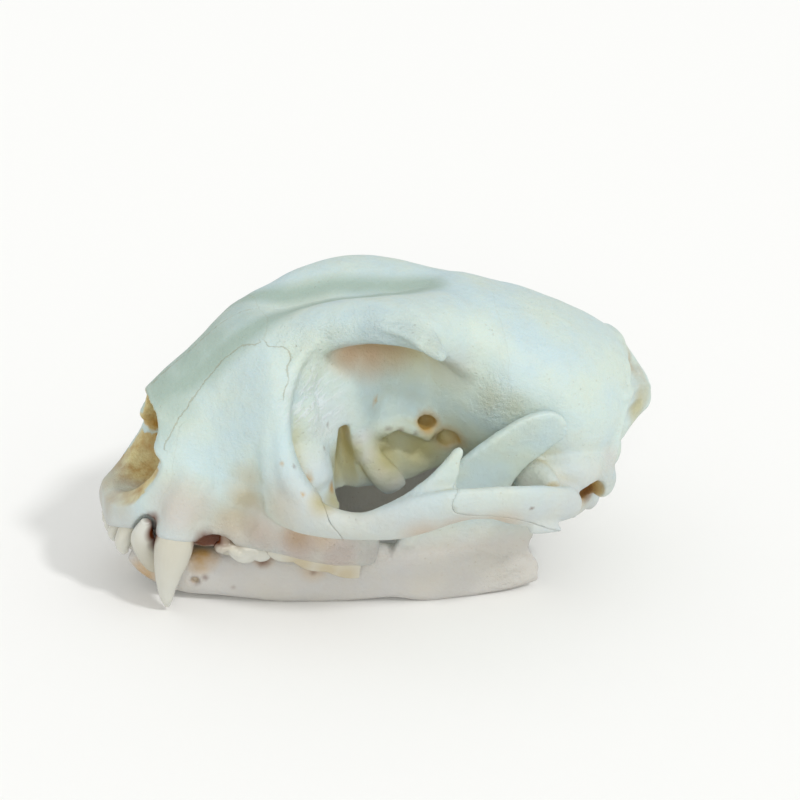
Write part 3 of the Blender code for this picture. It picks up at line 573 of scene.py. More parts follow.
# %% Skull base and back of the head
def skull_base(clay):
    # Palate, with the ridge of bone that carries the cheek teeth.
    trunk(clay, [
        (3, 3, 2, -0.6, 6, 8, 0), (12, 3, 2, -0.4, 6, 12.5, 0), (24, 3, 3, 0.8, 7, 14, 0),
        (36, 3, 4, 2, 8, 17.5, 0), (44, 3, 4.6, 2.6, 8.6, 16, 0), (50, 3, 6, 3.6, 9, 11, 0),
    ], low_squareness=3.0)
    limb(clay, [
        (10, 12.6, 1, 3, 3.4), (16, 13.4, 0.6, 2.3, 3.4), (24, 15.8, 0.6, 2.3, 4),
        (32, 19, 0.4, 2.3, 4.6), (38.5, 21, -0.4, 2.4, 5.4), (46, 22.4, -1.2, 2.4, 5.8),
        (52.4, 22.4, -1.6, 2.2, 5.8),
    ], squareness=2.6)
    # The inner wall of that ridge behind the canine.
    limb(clay, [
        (14.6, 11.4, -1, 1.4, 2.6), (18.6, 11.8, -1.8, 1.4, 3.4), (23.6, 13.2, -1.8, 1.4, 3),
    ])
    # The side of the face above that ridge.
    limb(clay, [
        (14, 11.6, 4.6, 3, 3.6), (19, 13.4, 5.6, 3.2, 4.6), (24, 14.8, 6.6, 3.4, 5.4),
        (29, 16.4, 8, 3.4, 6),
    ], squareness=2.2)
    # The swelling over the root of the canine.
    limb(clay, [
        (18.4, 8.6, 18, 1.8, 2.4), (16.6, 11, 13, 2.8, 3.6), (15, 12.4, 8, 3.4, 4.2),
        (13.2, 13.6, 2, 3.6, 4.4), (12.5, 14.1, -1.4, 3.4, 4.3),
    ], up=FORWARD)
    # Wings that hang behind the palate.
    limb(clay, [
        (46, 9.6, 6.6, 2.6, 3), (52, 8, 7.2, 1.6, 4.2), (60, 7.6, 8, 1.2, 5.2),
        (66, 7.8, 9.6, 1.1, 4.8), (72, 8.6, 11, 1.2, 3.6),
    ])
    # Floor of the braincase, joint sockets, ear capsules and occipital knuckles.
    trunk(clay, [
        (60, 3, 12, 9.6, 16, 6, 0), (74, 3, 9, 5.6, 14, 10, 0), (88, 3, 8, 4.4, 13, 11, 0),
        (102, 3, 6, 2.8, 12, 10, 0), (109, 3, 6, 2.4, 10, 8, 0),
    ], low_squareness=3.0)
    limb(clay, [
        (86, 18, 8.6, 4.6, 3), (87, 26, 8.2, 4.8, 2.9), (87, 33, 8.4, 3.8, 2.6),
    ])
    limb(clay, [
        (92.4, 21, 4, 1.3, 3.4), (92, 30, 5.4, 1.2, 2.6),
    ])
    lump(clay, (93, 14.2, 2), (9.8, 7.2, 7.3), (0, 0, -16))
    lump(clay, (99, 20, 9.6), (5.4, 5, 6.4))
    limb(clay, [
        (84, 20.6, 11, 3, 2.6), (88, 23.6, 10.6, 4.4, 4.2), (93, 24.4, 11, 4.4, 4.4),
        (98, 22.4, 11, 3.6, 4),
    ])
    lump(clay, (101.2, 22.2, 7.4), (3.1, 2.6, 4.4))
    limb(clay, [
        (101.2, 15.6, 6, 2.3, 3.2), (102, 16, 1.6, 2, 2.6), (102, 15.6, -1.6, 1.6, 2),
        (101.6, 15.2, -3.2, 0.8, 1),
    ], up=OUTWARD)
    lump(clay, (107.6, 7.4, 7.2), (4.2, 4.2, 5.6), (0, 0, 18))
    # The crest across the back of the head.
    limb(clay, [
        (101, 23.2, 7.6, 0.9, 1.6), (103.2, 21.4, 13, 0.9, 1.8), (105, 18.4, 18.6, 0.9, 2),
        (107.2, 14.6, 23.8, 0.9, 2.2), (108.8, 10, 27.6, 0.9, 2.2), (110, 5, 30, 0.9, 2),
        (110.6, 0, 30.8, 0.9, 1.8), (110, -5, 30, 0.9, 2),
    ], about=(92.0, 0.0, 16.0))


# %% Openings of the cranium
def openings_of_cranium(clay):
    # The nose: its slanting mouth, then the cavity behind.
    plate(clay, [
        (-6, 3.6), (2.2, 3.6), (4.6, 5), (7.4, 8.4), (9.1, 10.8), (10.1, 13), (10.3, 14.4),
        (9.3, 15), (9.1, 16.4), (9.8, 18.4), (10.3, 20.3), (9.9, 22.4), (9, 24.6), (8.2, 32),
        (-6, 32),
    ], thickness=40.0, out_at=0.0, lean=0.0)
    trunk(clay, [
        (-4, 2.1, 12.5, 3.4, 21, 7, 0), (4, 2.1, 12, 3.4, 21, 7.4, 0),
        (9, 2.1, 13, 4.2, 23.4, 7.8, 0), (14, 2.1, 15, 5.6, 26.6, 7.8, 0),
        (20, 2.1, 18, 9, 30, 6.8, 0), (27, 2.1, 21, 14, 31, 3.4, 0),
    ], low_squareness=2.1)
    # The hole for the spinal cord and the passage behind the palate.
    lump(clay, (111, 0, 6.8), (8, 6.2, 5))
    trunk(clay, [
        (49, 2.2, 5, 0.5, 8.4, 5, 0), (58, 2.2, 5, 0.5, 9.4, 5.4, 0),
        (72, 2.2, 5, 0.5, 9.8, 5.8, 0),
    ])
    # The furrow in front of the cheek root, and the canal that opens in its depth.
    limb(clay, [
        (25.8, 24, 14, 1, 1.8), (25.4, 22, 9.4, 3, 3.4), (25, 21.2, 4.4, 3.8, 4),
        (24, 22.2, -1.4, 3.2, 3.4),
    ], up=FORWARD)
    # The edge of the jaw rises behind the canine.
    lump(clay, (19.8, 17.2, -3.6), (4.3, 4, 3.4))
    # The deep hollows before and behind the strip of bone in the socket.
    limb(clay, [
        (47, 14.6, 20.2, 4.6, 1.2), (47.6, 14.6, 14, 6.4, 2), (48.9, 14.6, 7.6, 6.6, 3.6),
        (49.6, 14.6, 2.6, 6.6, 5.2),
    ], up=FORWARD)
    limb(clay, [
        (57, 14, 16.4, 5, 2), (60.6, 14, 13, 6, 3.8), (65.4, 14, 9.8, 6, 4), (68.4, 14, 7.6, 5, 3),
    ], up=FORWARD)
    # The notch that the tip of the lower canine stands in.
    limb(clay, [
        (6.8, 10.6, -5, 3, 3.3), (6.5, 11.9, -0.6, 2.6, 3), (7, 13.4, 2.9, 1.8, 1.9),
    ], up=FORWARD)
    # Ear opening, optic foramen and the fissure behind it.
    limb(clay, [
        (97.6, 30, 4.8, 3.9, 3.8), (97.4, 24, 5.2, 3.8, 3.6), (97, 18.5, 5.6, 2.8, 2.6),
    ])
    lump(clay, (65.8, 9.6, 18), (2.1, 3.2, 1.5))
    lump(clay, (70.4, 11.4, 14), (2.3, 4, 2.6))


# %% [markdown]
# ## One cranium, two cheek bones
# The cheek bone meets the face and the temple in two open joints. They are cut with a sheet
# as thin as the joint, which leaves the cheek bone as a surface of its own. Only the left
# side is worked, because a mirror is exact and the cutting takes half the time.

# %% Build the cranium and the cheek bone
JOINT_GAP = 0.08
CHEEK_TO_FACE = [(40.4, 15.4), (38.8, 12), (39.2, 9.2), (41.2, 6.4), (43.4, 3)]
CHEEK_TO_TEMPLE = [
    (68, 22.8), (64.8, 19), (61.9, 17), (61, 14.9), (61.6, 13.3), (63.6, 12.3), (66.4, 11.7),
    (70, 11.1), (73.8, 10.2), (77.6, 8.6), (82, 6.4), (85.6, 4.6), (89, 2.8),
]
# Each joint: its line, and how far from the middle its sheet starts. All end at SHEET_END.
JOINTS = ((CHEEK_TO_FACE, 23.6), (CHEEK_TO_TEMPLE, 31.5))
SHEET_END = 48.0
# Hollows of the nape muscles and the ridges beside them: line, width, depth.
HEAD_BACK = [
    ([(111, 9.4, 27.6), (114.6, 4.6, 25.8)], 2.6, 1.0),
    ([(108, 16.6, 19), (113.6, 10.4, 17.4)], 2.8, 1.1),
    ([(106.6, 17.4, 23.6), (112.4, 10.6, 23), (118, 4, 19.4)], 1.8, -0.7),
]
CAP_AT = 3.0             # the half is kept closed a little past the middle while it is cut
CRANIUM_TRIANGLES = 190000


def joint_sheet(line, out_from):
    """A thin upright sheet that parts two bones along a line of x, z."""
    path = smooth_rows([(x, 0.0, z) for x, z in line], 1.0)
    band = bmesh.new()
    sides = []
    for sign in (-0.5, 0.5):
        edge = []
        for i, (x, _, z) in enumerate(path):
            after = path[min(i + 1, len(path) - 1)]
            before = path[max(i - 1, 0)]
            across = Vector((before[2] - after[2], 0.0, after[0] - before[0])).normalized()
            edge.append(Vector((x, -out_from, z)) + across * sign * JOINT_GAP)
        sides.append(edge)
    near = [band.verts.new(p) for p in sides[0] + sides[1][::-1]]
    faces = []
    for i in range(len(path) - 1):
        faces.append(band.faces.new((near[i], near[i + 1], near[-2 - i], near[-1 - i])))
    grown = bmesh.ops.extrude_face_region(band, geom=faces, use_keep_orig=True)
    moved = [g for g in grown["geom"] if isinstance(g, bmesh.types.BMVert)]
    bmesh.ops.translate(band, verts=moved, vec=(0.0, out_from - SHEET_END, 0.0))
    bmesh.ops.recalc_face_normals(band, faces=band.faces)
    return as_object("joint", band)


def build_cranium():
    cranium = modelled("cranium_bone", VOXEL, 12, face_and_vault, brow_and_eye_rim,
                       socket_floor, cheek_arch, skull_base)
    one_side(cranium, CAP_AT, close=True)
    cut(cranium, modelled("holes", VOXEL * 1.2, 2, openings_of_cranium))
    skin(cranium, VOXEL, smoothing=3)
    for out_side in (1.0, -1.0):
        for rows, width, depth in HEAD_BACK:
            press(cranium, [(x, out * out_side, z) for x, out, z in rows], width, depth)
    weather(cranium, size=9.0, height=0.22, seed=1)
    weather(cranium, size=3.2, height=0.07, seed=2)
    for line, out_from in JOINTS:
        cut(cranium, joint_sheet(line, out_from))
    cheek = bpy.data.objects.new("cheek_bone_left", cranium.data.copy())
    scene.collection.objects.link(cheek)
    only_surface(cheek, 1)
    only_surface(cranium, 0)
    thin_out(cranium, CRANIUM_TRIANGLES // 2)
    one_side(cranium, 0.0, close=False)
    return both_sides(cranium), cheek


cranium, cheek_left = build_cranium()
cheek_right = twin(cheek_left, "cheek_bone_right")
print("cranium", len(cranium.data.polygons), "faces, cheek bone", len(cheek_left.data.polygons))

# %% [markdown]
# ## The lower jaw
# Each half of the jaw is a bar that carries the teeth and a thin blade that stands up behind
# it, where the jaw muscles hold. The two halves only touch at the chin.

# %% Lower jaw
JAW_DEPTH = 18.4   # from the skull's own level down to the flats it rests on, mm
CHIN_GAP = 0.15


def jaw_body(clay):
    limb(clay, [
        (5.4, 2.9, -9, 2.6, 2.4), (8.6, 4.2, -10.4, 3.9, 3.8), (14, 7, -11.9, 3.6, 5.1),
        (23, 10.6, -12.2, 3.1, 5.4), (34, 13.8, -12.3, 2.9, 6.1), (45, 16, -12.5, 2.8, 6.2),
        (51, 17.4, -11.6, 2.8, 6.6), (58, 18.8, -11.4, 2.8, 6.2), (65, 20, -12.2, 2.5, 6.5),
        (71, 20.4, -12.6, 2.1, 6), (78, 20.4, -13.4, 1.7, 4.9), (84, 20, -14.2, 1.2, 3.6),
        (88.6, 19.6, -14.6, 0.7, 2.4),
    ], squareness=2.3)
    plate(clay, [
        (55, -10), (57, -3.5), (60.5, 5), (64.6, 11.8), (69, 17), (74.7, 22.6), (81, 26.6),
        (85.4, 27), (88.4, 25), (89.4, 21.6), (86, 17.8), (81.8, 13.6), (79.6, 8.6), (80.4, 4.4),
        (84.4, 3), (87.6, 1.6), (87.2, -4), (86.8, -8), (88.2, -10.8), (89.8, -13), (90.2, -15.4),
        (88.4, -17.2), (83, -17.8), (77, -17.4), (71, -17), (62, -16.4),
    ], thickness=2.2, out_at=22.0, lean=0.26)
    # Angle of the jaw, joint roller and the raised front edge of the blade.
    limb(clay, [
        (74, 20.6, -16.2, 1.6, 1.8), (82, 20.2, -16.2, 1.6, 1.9), (89.4, 19.8, -15, 1.3, 2),
    ])
    limb(clay, [
        (85, 21, 2.6, 2, 2.1), (86, 26, 2.6, 2.4, 2.3), (85.6, 31.6, 2.6, 1.8, 1.8),
    ])
    limb(clay, [
        (59, 21.4, -4, 1.5, 1.8), (64.6, 24.2, 9, 1.3, 1.7), (72, 26.6, 18.6, 1.1, 1.4),
        (78.6, 28, 23.6, 0.7, 1),
    ], up=FORWARD)


def openings_of_jaw(clay):
    lump(clay, (75, 29.6, -1), (8, 3.6, 10))
    lump(clay, (17, 11.6, -13.2), (1, 1.4, 0.8))
    lump(clay, (18.8, 12, -12.4), (0.6, 1.3, 0.5))
    lump(clay, (24.6, 14.2, -14.2), (0.6, 1.3, 0.5))


def cut_flat(made, level):
    """Takes the lowest sliver off, for the faces the skull rests on."""
    with reshaped(made) as shape:
        slice_off(shape, (0, 0, level), (0, 0, -1))
        close_up(shape)


def build_jaw():
    jaw = modelled("jaw_bone_left", VOXEL, 4, jaw_body)
    cut(jaw, modelled("pits", TOOTH_VOXEL, 3, openings_of_jaw))
    skin(jaw, VOXEL, smoothing=2)
    weather(jaw, size=9.0, height=0.16, seed=3)
    cut_flat(jaw, -JAW_DEPTH)
    one_side(jaw, -CHIN_GAP / 2, close=True)
    return only_surface(jaw)


jaw_left = build_jaw()
jaw_right = twin(jaw_left, "jaw_bone_right")
print("jaw half", len(jaw_left.data.polygons), "faces")

# %% [markdown]
# ## Teeth
# Teeth are separate in life: each crown stands in its own socket. A canine is a tapering
# horn that bends back, an incisor a small peg, and a cheek tooth a row of cusps that run
# into one blade. Each is a limb along its own axis with a very fine skin.

# %% Teeth
def tooth(name, shape_it, *values):
    return only_surface(modelled(name, TOOTH_VOXEL, 3, lambda clay: shape_it(clay, *values)))


def peg(clay, rows):
    limb(clay, rows, up=FORWARD, gap=0.7)


BLADE_END = 0.6    # how thick a cutting tooth is at its ends, as a share


def blade(clay, edge, thick, root_top):
    """A cutting tooth: its edge runs through the named points and its root ends at root_top."""
    rows = []
    for x, out, tip in edge:
        rows.append((x, out, (tip + root_top) / 2.0, thick, abs(root_top - tip) / 2.0))
    for end in (0, -1):
        rows[end] = rows[end][:3] + (thick * BLADE_END, rows[end][4])
    limb(clay, rows, squareness=1.7, gap=0.5)


PREMOLAR_ROOTS = ((22.4, 15.6), (28.2, 17))
PREMOLAR_SWELLS = ((21.2, 16.6, -3.4, 0.9), (25.2, 17.6, -4.4, 1.1), (28.6, 18.4, -4.2, 0.9))


def premolar(clay, edge):
    """A worn crown on two roots that spread into the jaw."""
    blade(clay, edge, 1.45, -2.2)
    for x, out in PREMOLAR_ROOTS:
        peg(clay, [(x, out, 2.0, 0.8, 0.9), (x, out + 0.3, -3.6, 1.3, 1.5)])
    for x, out, z, size in PREMOLAR_SWELLS:
        lump(clay, (x, out, z), (1.2 * size, 0.8 * size, size))


UPPER_INCISORS = ((0.9, 1.5, 6.0, 1.2), (1.4, 4.2, 6.6, 1.4), (3.0, 7.0, 8.2, 1.9))
LOWER_INCISORS = ((5.0, 1.2), (5.5, 3.0), (6.4, 4.9))
left_teeth = []
for n, (x, out, reach, root) in enumerate(UPPER_INCISORS):
    left_teeth.append(tooth("upper_incisor_%d_left" % (n + 1), peg, [
        (x + 3.0, out, 2.0, root, root),
        (x + 0.8, out, -2.6, root, root),
        (x - 0.1, out + 0.1, 2.4 - reach, 0.75 * root, 0.8 * root),
        (x + 0.3, out, 0.6 - reach, 0.35 * root, 0.4 * root),
    ]))
for n, (x, out) in enumerate(LOWER_INCISORS):
    left_teeth.append(tooth("lower_incisor_%d_left" % (n + 1), peg, [
        (x + 1.0, out + 0.3, -9.0, 0.8, 1.0),
        (x, out + 0.3, -4.4, 0.75, 0.8),
    ]))
# The larger ones. A blade also says its half thickness and where its root ends.
LARGE_TEETH = (
    ("upper_canine", peg, [
        (14.6, 12.4, 6, 2, 2.6), (13, 13.8, 1, 2.8, 3.7), (12.2, 14.5, -2.6, 3, 4),
        (11.6, 14.6, -6, 2.8, 3.6), (11, 14.5, -9.4, 2.2, 2.8), (10.7, 14.1, -13, 1.5, 1.9),
        (10.8, 13.8, -16, 0.9, 1.1), (10.9, 13.6, -17.4, 0.4, 0.5),
    ]),
    ("lower_canine", peg, [
        (10.8, 6.4, -11.8, 2.4, 2.8), (7.8, 9, -6.6, 2.3, 2.6), (6.4, 11.3, -1.6, 1.9, 2.4),
        (6.9, 12.6, 2.3, 0.8, 1),
    ]),
    ("upper_premolar", premolar, (
        (20.4, 15.6, -3.4), (21.4, 15.9, -5), (22.8, 16.2, -4.3), (24.6, 16.6, -6.3),
        (26.2, 17, -7.3), (28.2, 17.4, -6.2), (29.4, 17.7, -6.9), (30.6, 18.1, -5.8),
    )),
    ("upper_carnassial", blade, (
        (31, 18.6, -5), (33.4, 19.4, -6.4), (36, 20.1, -6.5), (39.2, 21, -8.2), (42.8, 21.9, -8.6),
        (46.6, 22.6, -10), (49, 22.9, -10.2),
    ), 1.5, 0.5),
    ("lower_premolar_1", blade, (
        (22.6, 11, -5.8), (25.6, 11.8, -3.2), (29, 12.6, -5.6),
    ), 1.6, -10.0),
    ("lower_premolar_2", blade, (
        (30.2, 13, -5.6), (34, 14, -1.6), (38, 14.8, -4.8),
    ), 1.7, -10.0),
    ("lower_carnassial", blade, (
        (39.2, 15.2, -4.6), (42.6, 16, -0.6), (45.6, 16.6, -3), (49, 17.3, -0.8),
        (50.8, 17.7, -4.6),
    ), 1.7, -10.0),
)
for name, shape_it, *values in LARGE_TEETH:
    left_teeth.append(tooth(name + "_left", shape_it, *values))
teeth = left_teeth + [twin(t, t.name.replace("_left", "_right")) for t in left_teeth]
print(len(teeth), "teeth,", sum(len(t.data.polygons) for t in teeth), "faces")

# %% [markdown]
# ## Joints, stains and painted shade as attributes
# The joints between the bones of the face are hairlines that wander over the surface. An
# image could show them, but an attribute is sharper and needs no unwrapping: every point of
# the mesh stores its distance to the nearest joint, with a sign for the side it lies on, and
# the material draws a dark line where that distance passes through zero.

# %% Paint tools
def paint(made, name, values):
    layer = made.data.attributes.new(name, "FLOAT", "POINT")
    layer.data.foreach_set("value", np.asarray(values, dtype=np.float32))


def folded_points(made):
    """Points and normals as if all lay on the left side, for what both sides share."""
    points, normals = points_of(made)
    right = points[:, 1] > 0.0
    points[right, 1] *= -1.0
    normals[right, 1] *= -1.0
    return points, normals


SEAM_REACH = 3.0   # distances to a joint are kept up to here, mm
SEAM_PAST = 0.9    # a joint stops this far past the last point of its line
SEAM_SHOWN = 1.8   # and nothing of it shows farther off than this


def paint_seams(made, lines):
    """Each line is a strength and its rows of x, out, z."""
    points, normals = folded_points(made)
    signed = np.full(len(points), SEAM_REACH)
    nearest = np.full(len(points), FAR)
    shown = np.zeros(len(points))
    for strength, rows in lines:
        path = on_left(rows, 0.4)
        far, which = nearest_on(path, points)
        ahead = path[np.minimum(which + 1, len(path) - 1)] - path[np.maximum(which - 1, 0)]
        ahead /= np.linalg.norm(ahead, axis=1)[:, None]
        offset = points - path[which]
        past = np.abs(np.einsum("ij,ij->i", offset, ahead))
        side = np.einsum("ij,ij->i", offset, np.cross(normals, ahead))
        side = np.where(past > SEAM_PAST, SEAM_REACH, side)
        closer = far < nearest
        nearest[closer] = far[closer]
        signed[closer] = side[closer]
        shown[closer] = strength
    paint(made, "seam", np.clip(signed, -SEAM_REACH, SEAM_REACH))
    paint(made, "seam_near", shown * np.clip(SEAM_SHOWN - nearest, 0.0, 1.0))


def faded(far, radius):
    """One near the middle of a spot, falling to nothing a little past its radius."""
    return np.clip(1.3 - far / radius, 0.0, 1.0)


def paint_spots(made, name, spots):
    points, _ = folded_points(made)
    total = np.zeros(len(points))
    for x, out, z, radius, strength in spots:
        far = np.linalg.norm(points - np.array((x, -out, z)), axis=1)
        total = np.maximum(total, strength * faded(far, radius))
    paint(made, name, total)


print("paint tools ready")

# %% Where the joints run
FACE_SEAM = [
    (11.2, 10.3, 17.2), (11.9, 9.7, 19), (13.2, 9.3, 21), (14.7, 8.8, 23), (18.5, 8, 28.2),
    (21.4, 7.9, 32), (24.3, 8.6, 35.3), (26.8, 9.6, 37.5), (28.9, 11.4, 38.2), (30.6, 12, 39),
    (30.9, 13, 38.5), (32.5, 13.8, 38.5), (34.5, 14.6, 38.1), (34.6, 16.2, 36.8),
    (33.8, 17.6, 35.3), (34, 18.9, 33.9), (33.3, 19.4, 32.3), (32.8, 20.1, 30.3),
]
PREMAXILLA_SEAM = [
    (13.9, 9.8, 20.7), (13.4, 10.7, 18.5), (12.8, 11.5, 16.3), (12.3, 12.2, 14),
    (12.1, 12.9, 11.8), (11.1, 13.3, 9.6), (9.7, 13.2, 7.2), (9, 13.5, 4.8),
]
BROW_SEAM = [(32, 0, 41.3), (32.4, 5.1, 41.5), (31.5, 9.4, 40.7), (30.2, 11.6, 38.9)]
MIDDLE_SEAM = [(9.6, 0, 25), (17, 0, 32), (25, 0, 38.3), (32, 0, 41.3)]
TEMPLE_SEAM = [
    (80.4, 4.3, 44), (79, 10.2, 43), (78.9, 15.9, 39.7), (78.8, 20.1, 34.9), (78.4, 21.8, 30.2),
]
SEAMS = [
    (0.6, FACE_SEAM), (0.12, PREMAXILLA_SEAM), (0.2, BROW_SEAM), (0.6, MIDDLE_SEAM),
    (0.12, TEMPLE_SEAM),
]
skull_bones = [cranium, cheek_left, cheek_right]
jaw_bones = [jaw_left, jaw_right]
bones = skull_bones + jaw_bones
for bone in bones:
    paint_seams(bone, SEAMS)
print(len(SEAMS), "joints painted")

# %% Stains and painted shade
# Soft round spots of stains and painted shade, each: x, out, z, radius, strength.
SPOTS = {
    # Painted shade in the depth of pits and holes, with old grease that cleaning left in them.
    "ochre": [
        (65.8, 10.5, 18, 2.6, 1), (70.4, 12, 14, 3.6, 1), (38.4, 19.3, 11.9, 1, 0.8),
        (44.1, 16.2, 7.9, 1.3, 0.9), (34.9, 28.4, 13.2, 0.5, 0.7), (31.5, 24.5, 18.3, 0.5, 0.6),
        (7.2, 7.5, -12.4, 3.2, 0.6), (18.2, 11.1, -7.6, 3.6, 0.8), (96.6, 20, 6, 5, 0.9),
        (63.6, 36.6, 21.4, 1.3, 0.4), (53.7, 12.6, 24.6, 0.5, 0.7), (30.5, 15.3, -7, 2.4, 0.6),
        (40.5, 17.8, -9.4, 3, 0.4), (102.2, 18, 6, 3.6, 0.35),
    ],
    # Painted shade: the dark of holes, pits and the gaps between teeth.
    "brown": [
        (99, 20, 3.4, 2.2, 0.8), (18.4, 13.4, -1.8, 3.6, 1.7), (21.6, 13.8, -2, 3.4, 1.7),
        (9.2, 12.6, -0.6, 2.4, 1.6), (9.2, 10.6, -2.6, 2.6, 1.4), (8.6, 12.6, 2.6, 1.8, 1),
        (30.5, 15.3, -8, 1.5, 0.9), (25, 15.6, -2.6, 2, 0.8), (40.5, 17.8, -10.4, 0.8, 0.6),
        (43.5, 14.1, 21.2, 0.3, 0.7), (42.5, 15.4, 16.6, 0.4, 0.6), (33.9, 25.1, 17.7, 0.4, 0.6),
        (56.7, 12.6, 18.2, 0.7, 0.45), (59.4, 12.5, 17.6, 0.8, 0.5), (62.8, 12, 16.5, 0.6, 0.4),
        (77.9, 41, 12.2, 0.3, 0.7), (78.3, 40.4, 10.3, 0.3, 0.6), (17, 12, -13.2, 1.2, 0.6),
        (19, 12.2, -12.2, 0.8, 0.6), (24.6, 13.8, -14.2, 0.6, 0.5),
    ],
    # Painted shade in the furrow before the cheek root, on the socket floor, under the cheek arch,
    # low on the snout and in the hollow at the back of the head; and the tan of the worn
    # cheek-tooth crowns.
    "tan": [
        (26.2, 18.4, 12.5, 3.8, 0.6), (26, 18.2, 8, 5, 0.9), (23.6, 18, 3, 6, 0.9),
        (12.8, 15.7, 7, 6, 0.4), (17.2, 16.1, 5, 6, 0.45), (38.4, 29.6, 11.4, 3, 0.6),
        (43.6, 18, 5.6, 2.4, 0.6), (62, 39, 7, 6, 0.35), (72, 40, 8, 6, 0.3),
        (36.7, 21.3, -6.2, 3.4, 0.7), (42.1, 22.5, -7.7, 3.6, 0.7), (45.8, 23.2, -8.9, 3.6, 0.7),
        (112.6, 7, 27, 4, 0.8), (116, 5, 23.6, 3, 0.5), (113, 10, 19, 6, 0.4), (1, 4, 2.4, 4, 0.6),
        (3, 8, 3, 3, 0.4), (31.5, 25.5, 10, 5, 0.4),
    ],
    # Painted shade in the deepest hollows of the socket and at the back of the head, and a faint
    # yellow tone on the temple.
    "olive": [
        (58, 12, 12, 7.5, 0.9), (65, 10, 11, 7, 0.9), (48.4, 12, 13, 4.6, 0.8),
        (70, 16, 12, 8, 0.5), (47, 9, 14, 4.6, 0.5), (48, 9, 8, 4.6, 0.5),
        (38.5, 29.8, 11.6, 2.6, 0.6), (44.4, 17.9, 5.8, 2.4, 0.6), (75.5, 20.4, 26.5, 3, 0.3),
        (79.9, 23.1, 26.2, 3.4, 0.3), (113.4, 9.5, 17.7, 4.6, 0.6), (116.7, 7.1, 18.8, 3.6, 0.4),
    ],
    # Painted shade with warm light bounced from below: the greyer, pinker cheek and tooth row.
    "rosy_shade": [
        (13, 15.7, 5, 7, 0.5), (30, 20, 0, 7, 0.6), (36, 22.6, -1, 8, 0.8), (44, 23.5, -3, 8, 0.8),
        (51, 24, -4, 6, 0.6), (70, 38, 8, 8, 0.4), (58, 37, 6, 7, 0.5), (48, 33, 3, 6, 0.5),
        (102, 23, 12, 4, 0.4),
    ],
    # The shade of the furrows beside the bridge of the nose.
    "dusk": [
        (12, 3, 27, 7, 0.9), (17.6, 3, 32, 7, 0.9), (21.7, 3, 36.1, 7, 0.8), (27, 3, 39.6, 7, 0.5),
        (10.7, 6.9, 19.8, 4.6, 0.5), (13.6, 7, 24.5, 5, 0.6),
    ],
    # Painted shade: pinkish brown in the shaded roof of the socket and under the cheek arch.
    "umber_shade": [
        (48.4, 12.6, 35.6, 5, 0.9), (53, 13, 35.4, 6, 0.9), (58, 13, 36, 6, 0.9),
        (63, 15, 36, 5, 0.7), (66, 17, 32, 6, 0.35), (41, 27, 5, 3, 0.5),
        (35.6, 22.7, 0.6, 3.4, 0.8), (40, 24.5, 1, 3.4, 0.6), (56, 38.5, 7.5, 4, 0.45),
        (64, 39.6, 8.5, 4, 0.45), (72, 40, 8.6, 4, 0.4), (30, 18, 1, 4, 0.4),
    ],
    # The wall of the socket is scored by fine pale lines.
    "scored": [
        (39.3, 15.5, 27.2, 8, 1), (43, 14, 24, 5, 0.8),
    ],
    # Painted light: the whitest bone, where light falls on the strip and the swelling in the
    # socket.
    "pale": [
        (51, 12, 16.5, 2.8, 0.9), (53, 12.6, 12.4, 3, 1), (56, 12.6, 8.8, 3.2, 1),
        (59, 11.6, 5.6, 3, 0.9), (40, 18, 12, 7, 0.5), (43.5, 14.1, 21.2, 6, 0.4),
    ],
    # Porous, crumbling bone: the brow, the ridge that carries the cheek teeth, old breaks.
    "rough": [
        (44, 16, 41, 4, 0.8), (50, 18.7, 41.6, 5, 1), (56, 22, 41.6, 5, 1), (61, 24.5, 39.5, 4, 1),
        (38, 14, 40, 5, 0.5), (30, 19.5, -3, 5, 0.8), (36, 22.7, -2, 6, 1), (44, 23.6, -3, 6, 1),
        (51, 24, -4, 6, 1), (77, 21.5, 26, 6, 0.7), (112, 9, 22, 8, 0.5), (102, 23, 9, 5, 0.5),
        (22, 16.4, 0, 4, 0.6), (82, 22, -14, 6, 0.5),
    ],
}
# Painted shade along the furrow beside the nasals, which runs on over the forehead.
DUSK_BAND = [
    (15.1, 5.4, 28), (19, 6.2, 30.9), (24.7, 7.4, 36.7), (28.6, 7.8, 39.8), (32.9, 6.6, 41.6),
    (39.6, 4, 42.4), (50, 3.9, 43.9), (61.1, 2.2, 43.7), (68, 1, 44.6),
]
for piece in bones + teeth:
    for name, spots in SPOTS.items():
        paint_spots(piece, name, spots)
print(sum(len(spots) for spots in SPOTS.values()), "spots painted")

# %% Broad painted shade and the colour of the teeth
NOSE_HALF, NOSE_END, NOSE_FLOOR = 10.5, 26.0, 2.5   # half width, last x and lowest z, mm
NASALS_FROM = 12.0    # what faces up above here is the outside of the nasal bones
LOW_SHADE_FADE = 6.0      # the low painted shade takes this long to set in sideways, mm


def shade_nose(made):
    """Painted shade: ochre on the walls inside the nose that face inward, most of it towards the
    front.
    """
    points, normals = folded_points(made)
    inward = np.clip(1.6 * normals[:, 1] + 1.0, 0.0, 1.0)
    inward *= np.abs(points[:, 1]) < NOSE_HALF
    inward *= np.where((normals[:, 2] > 0.1) & (points[:, 2] > NASALS_FROM), 0.0, 1.0)
    front = np.clip((NOSE_END - points[:, 0]) / 4.0, 0.0, 1.0)
    front *= np.clip((points[:, 2] - NOSE_FLOOR) / 2.0, 0.0, 1.0)
    deep = np.clip((points[:, 0] + 2.0) / 9.0, 0.5, 1.0)
    paint(made, "nose", inward * front * deep)


def deepen(made, name, values):
    """Keeps the stronger of a painted value that is there and a new one."""
    layer = made.data.attributes[name].data
    was = np.empty(len(layer), dtype=np.float32)
    layer.foreach_get("value", was)
    layer.foreach_set("value", np.maximum(was, values).astype(np.float32))


def shade_band(made, name, rows, radius, strength):
    points, _ = folded_points(made)
    far, _ = nearest_on(on_left(rows), points)
    deepen(made, name, strength * faded(far, radius))


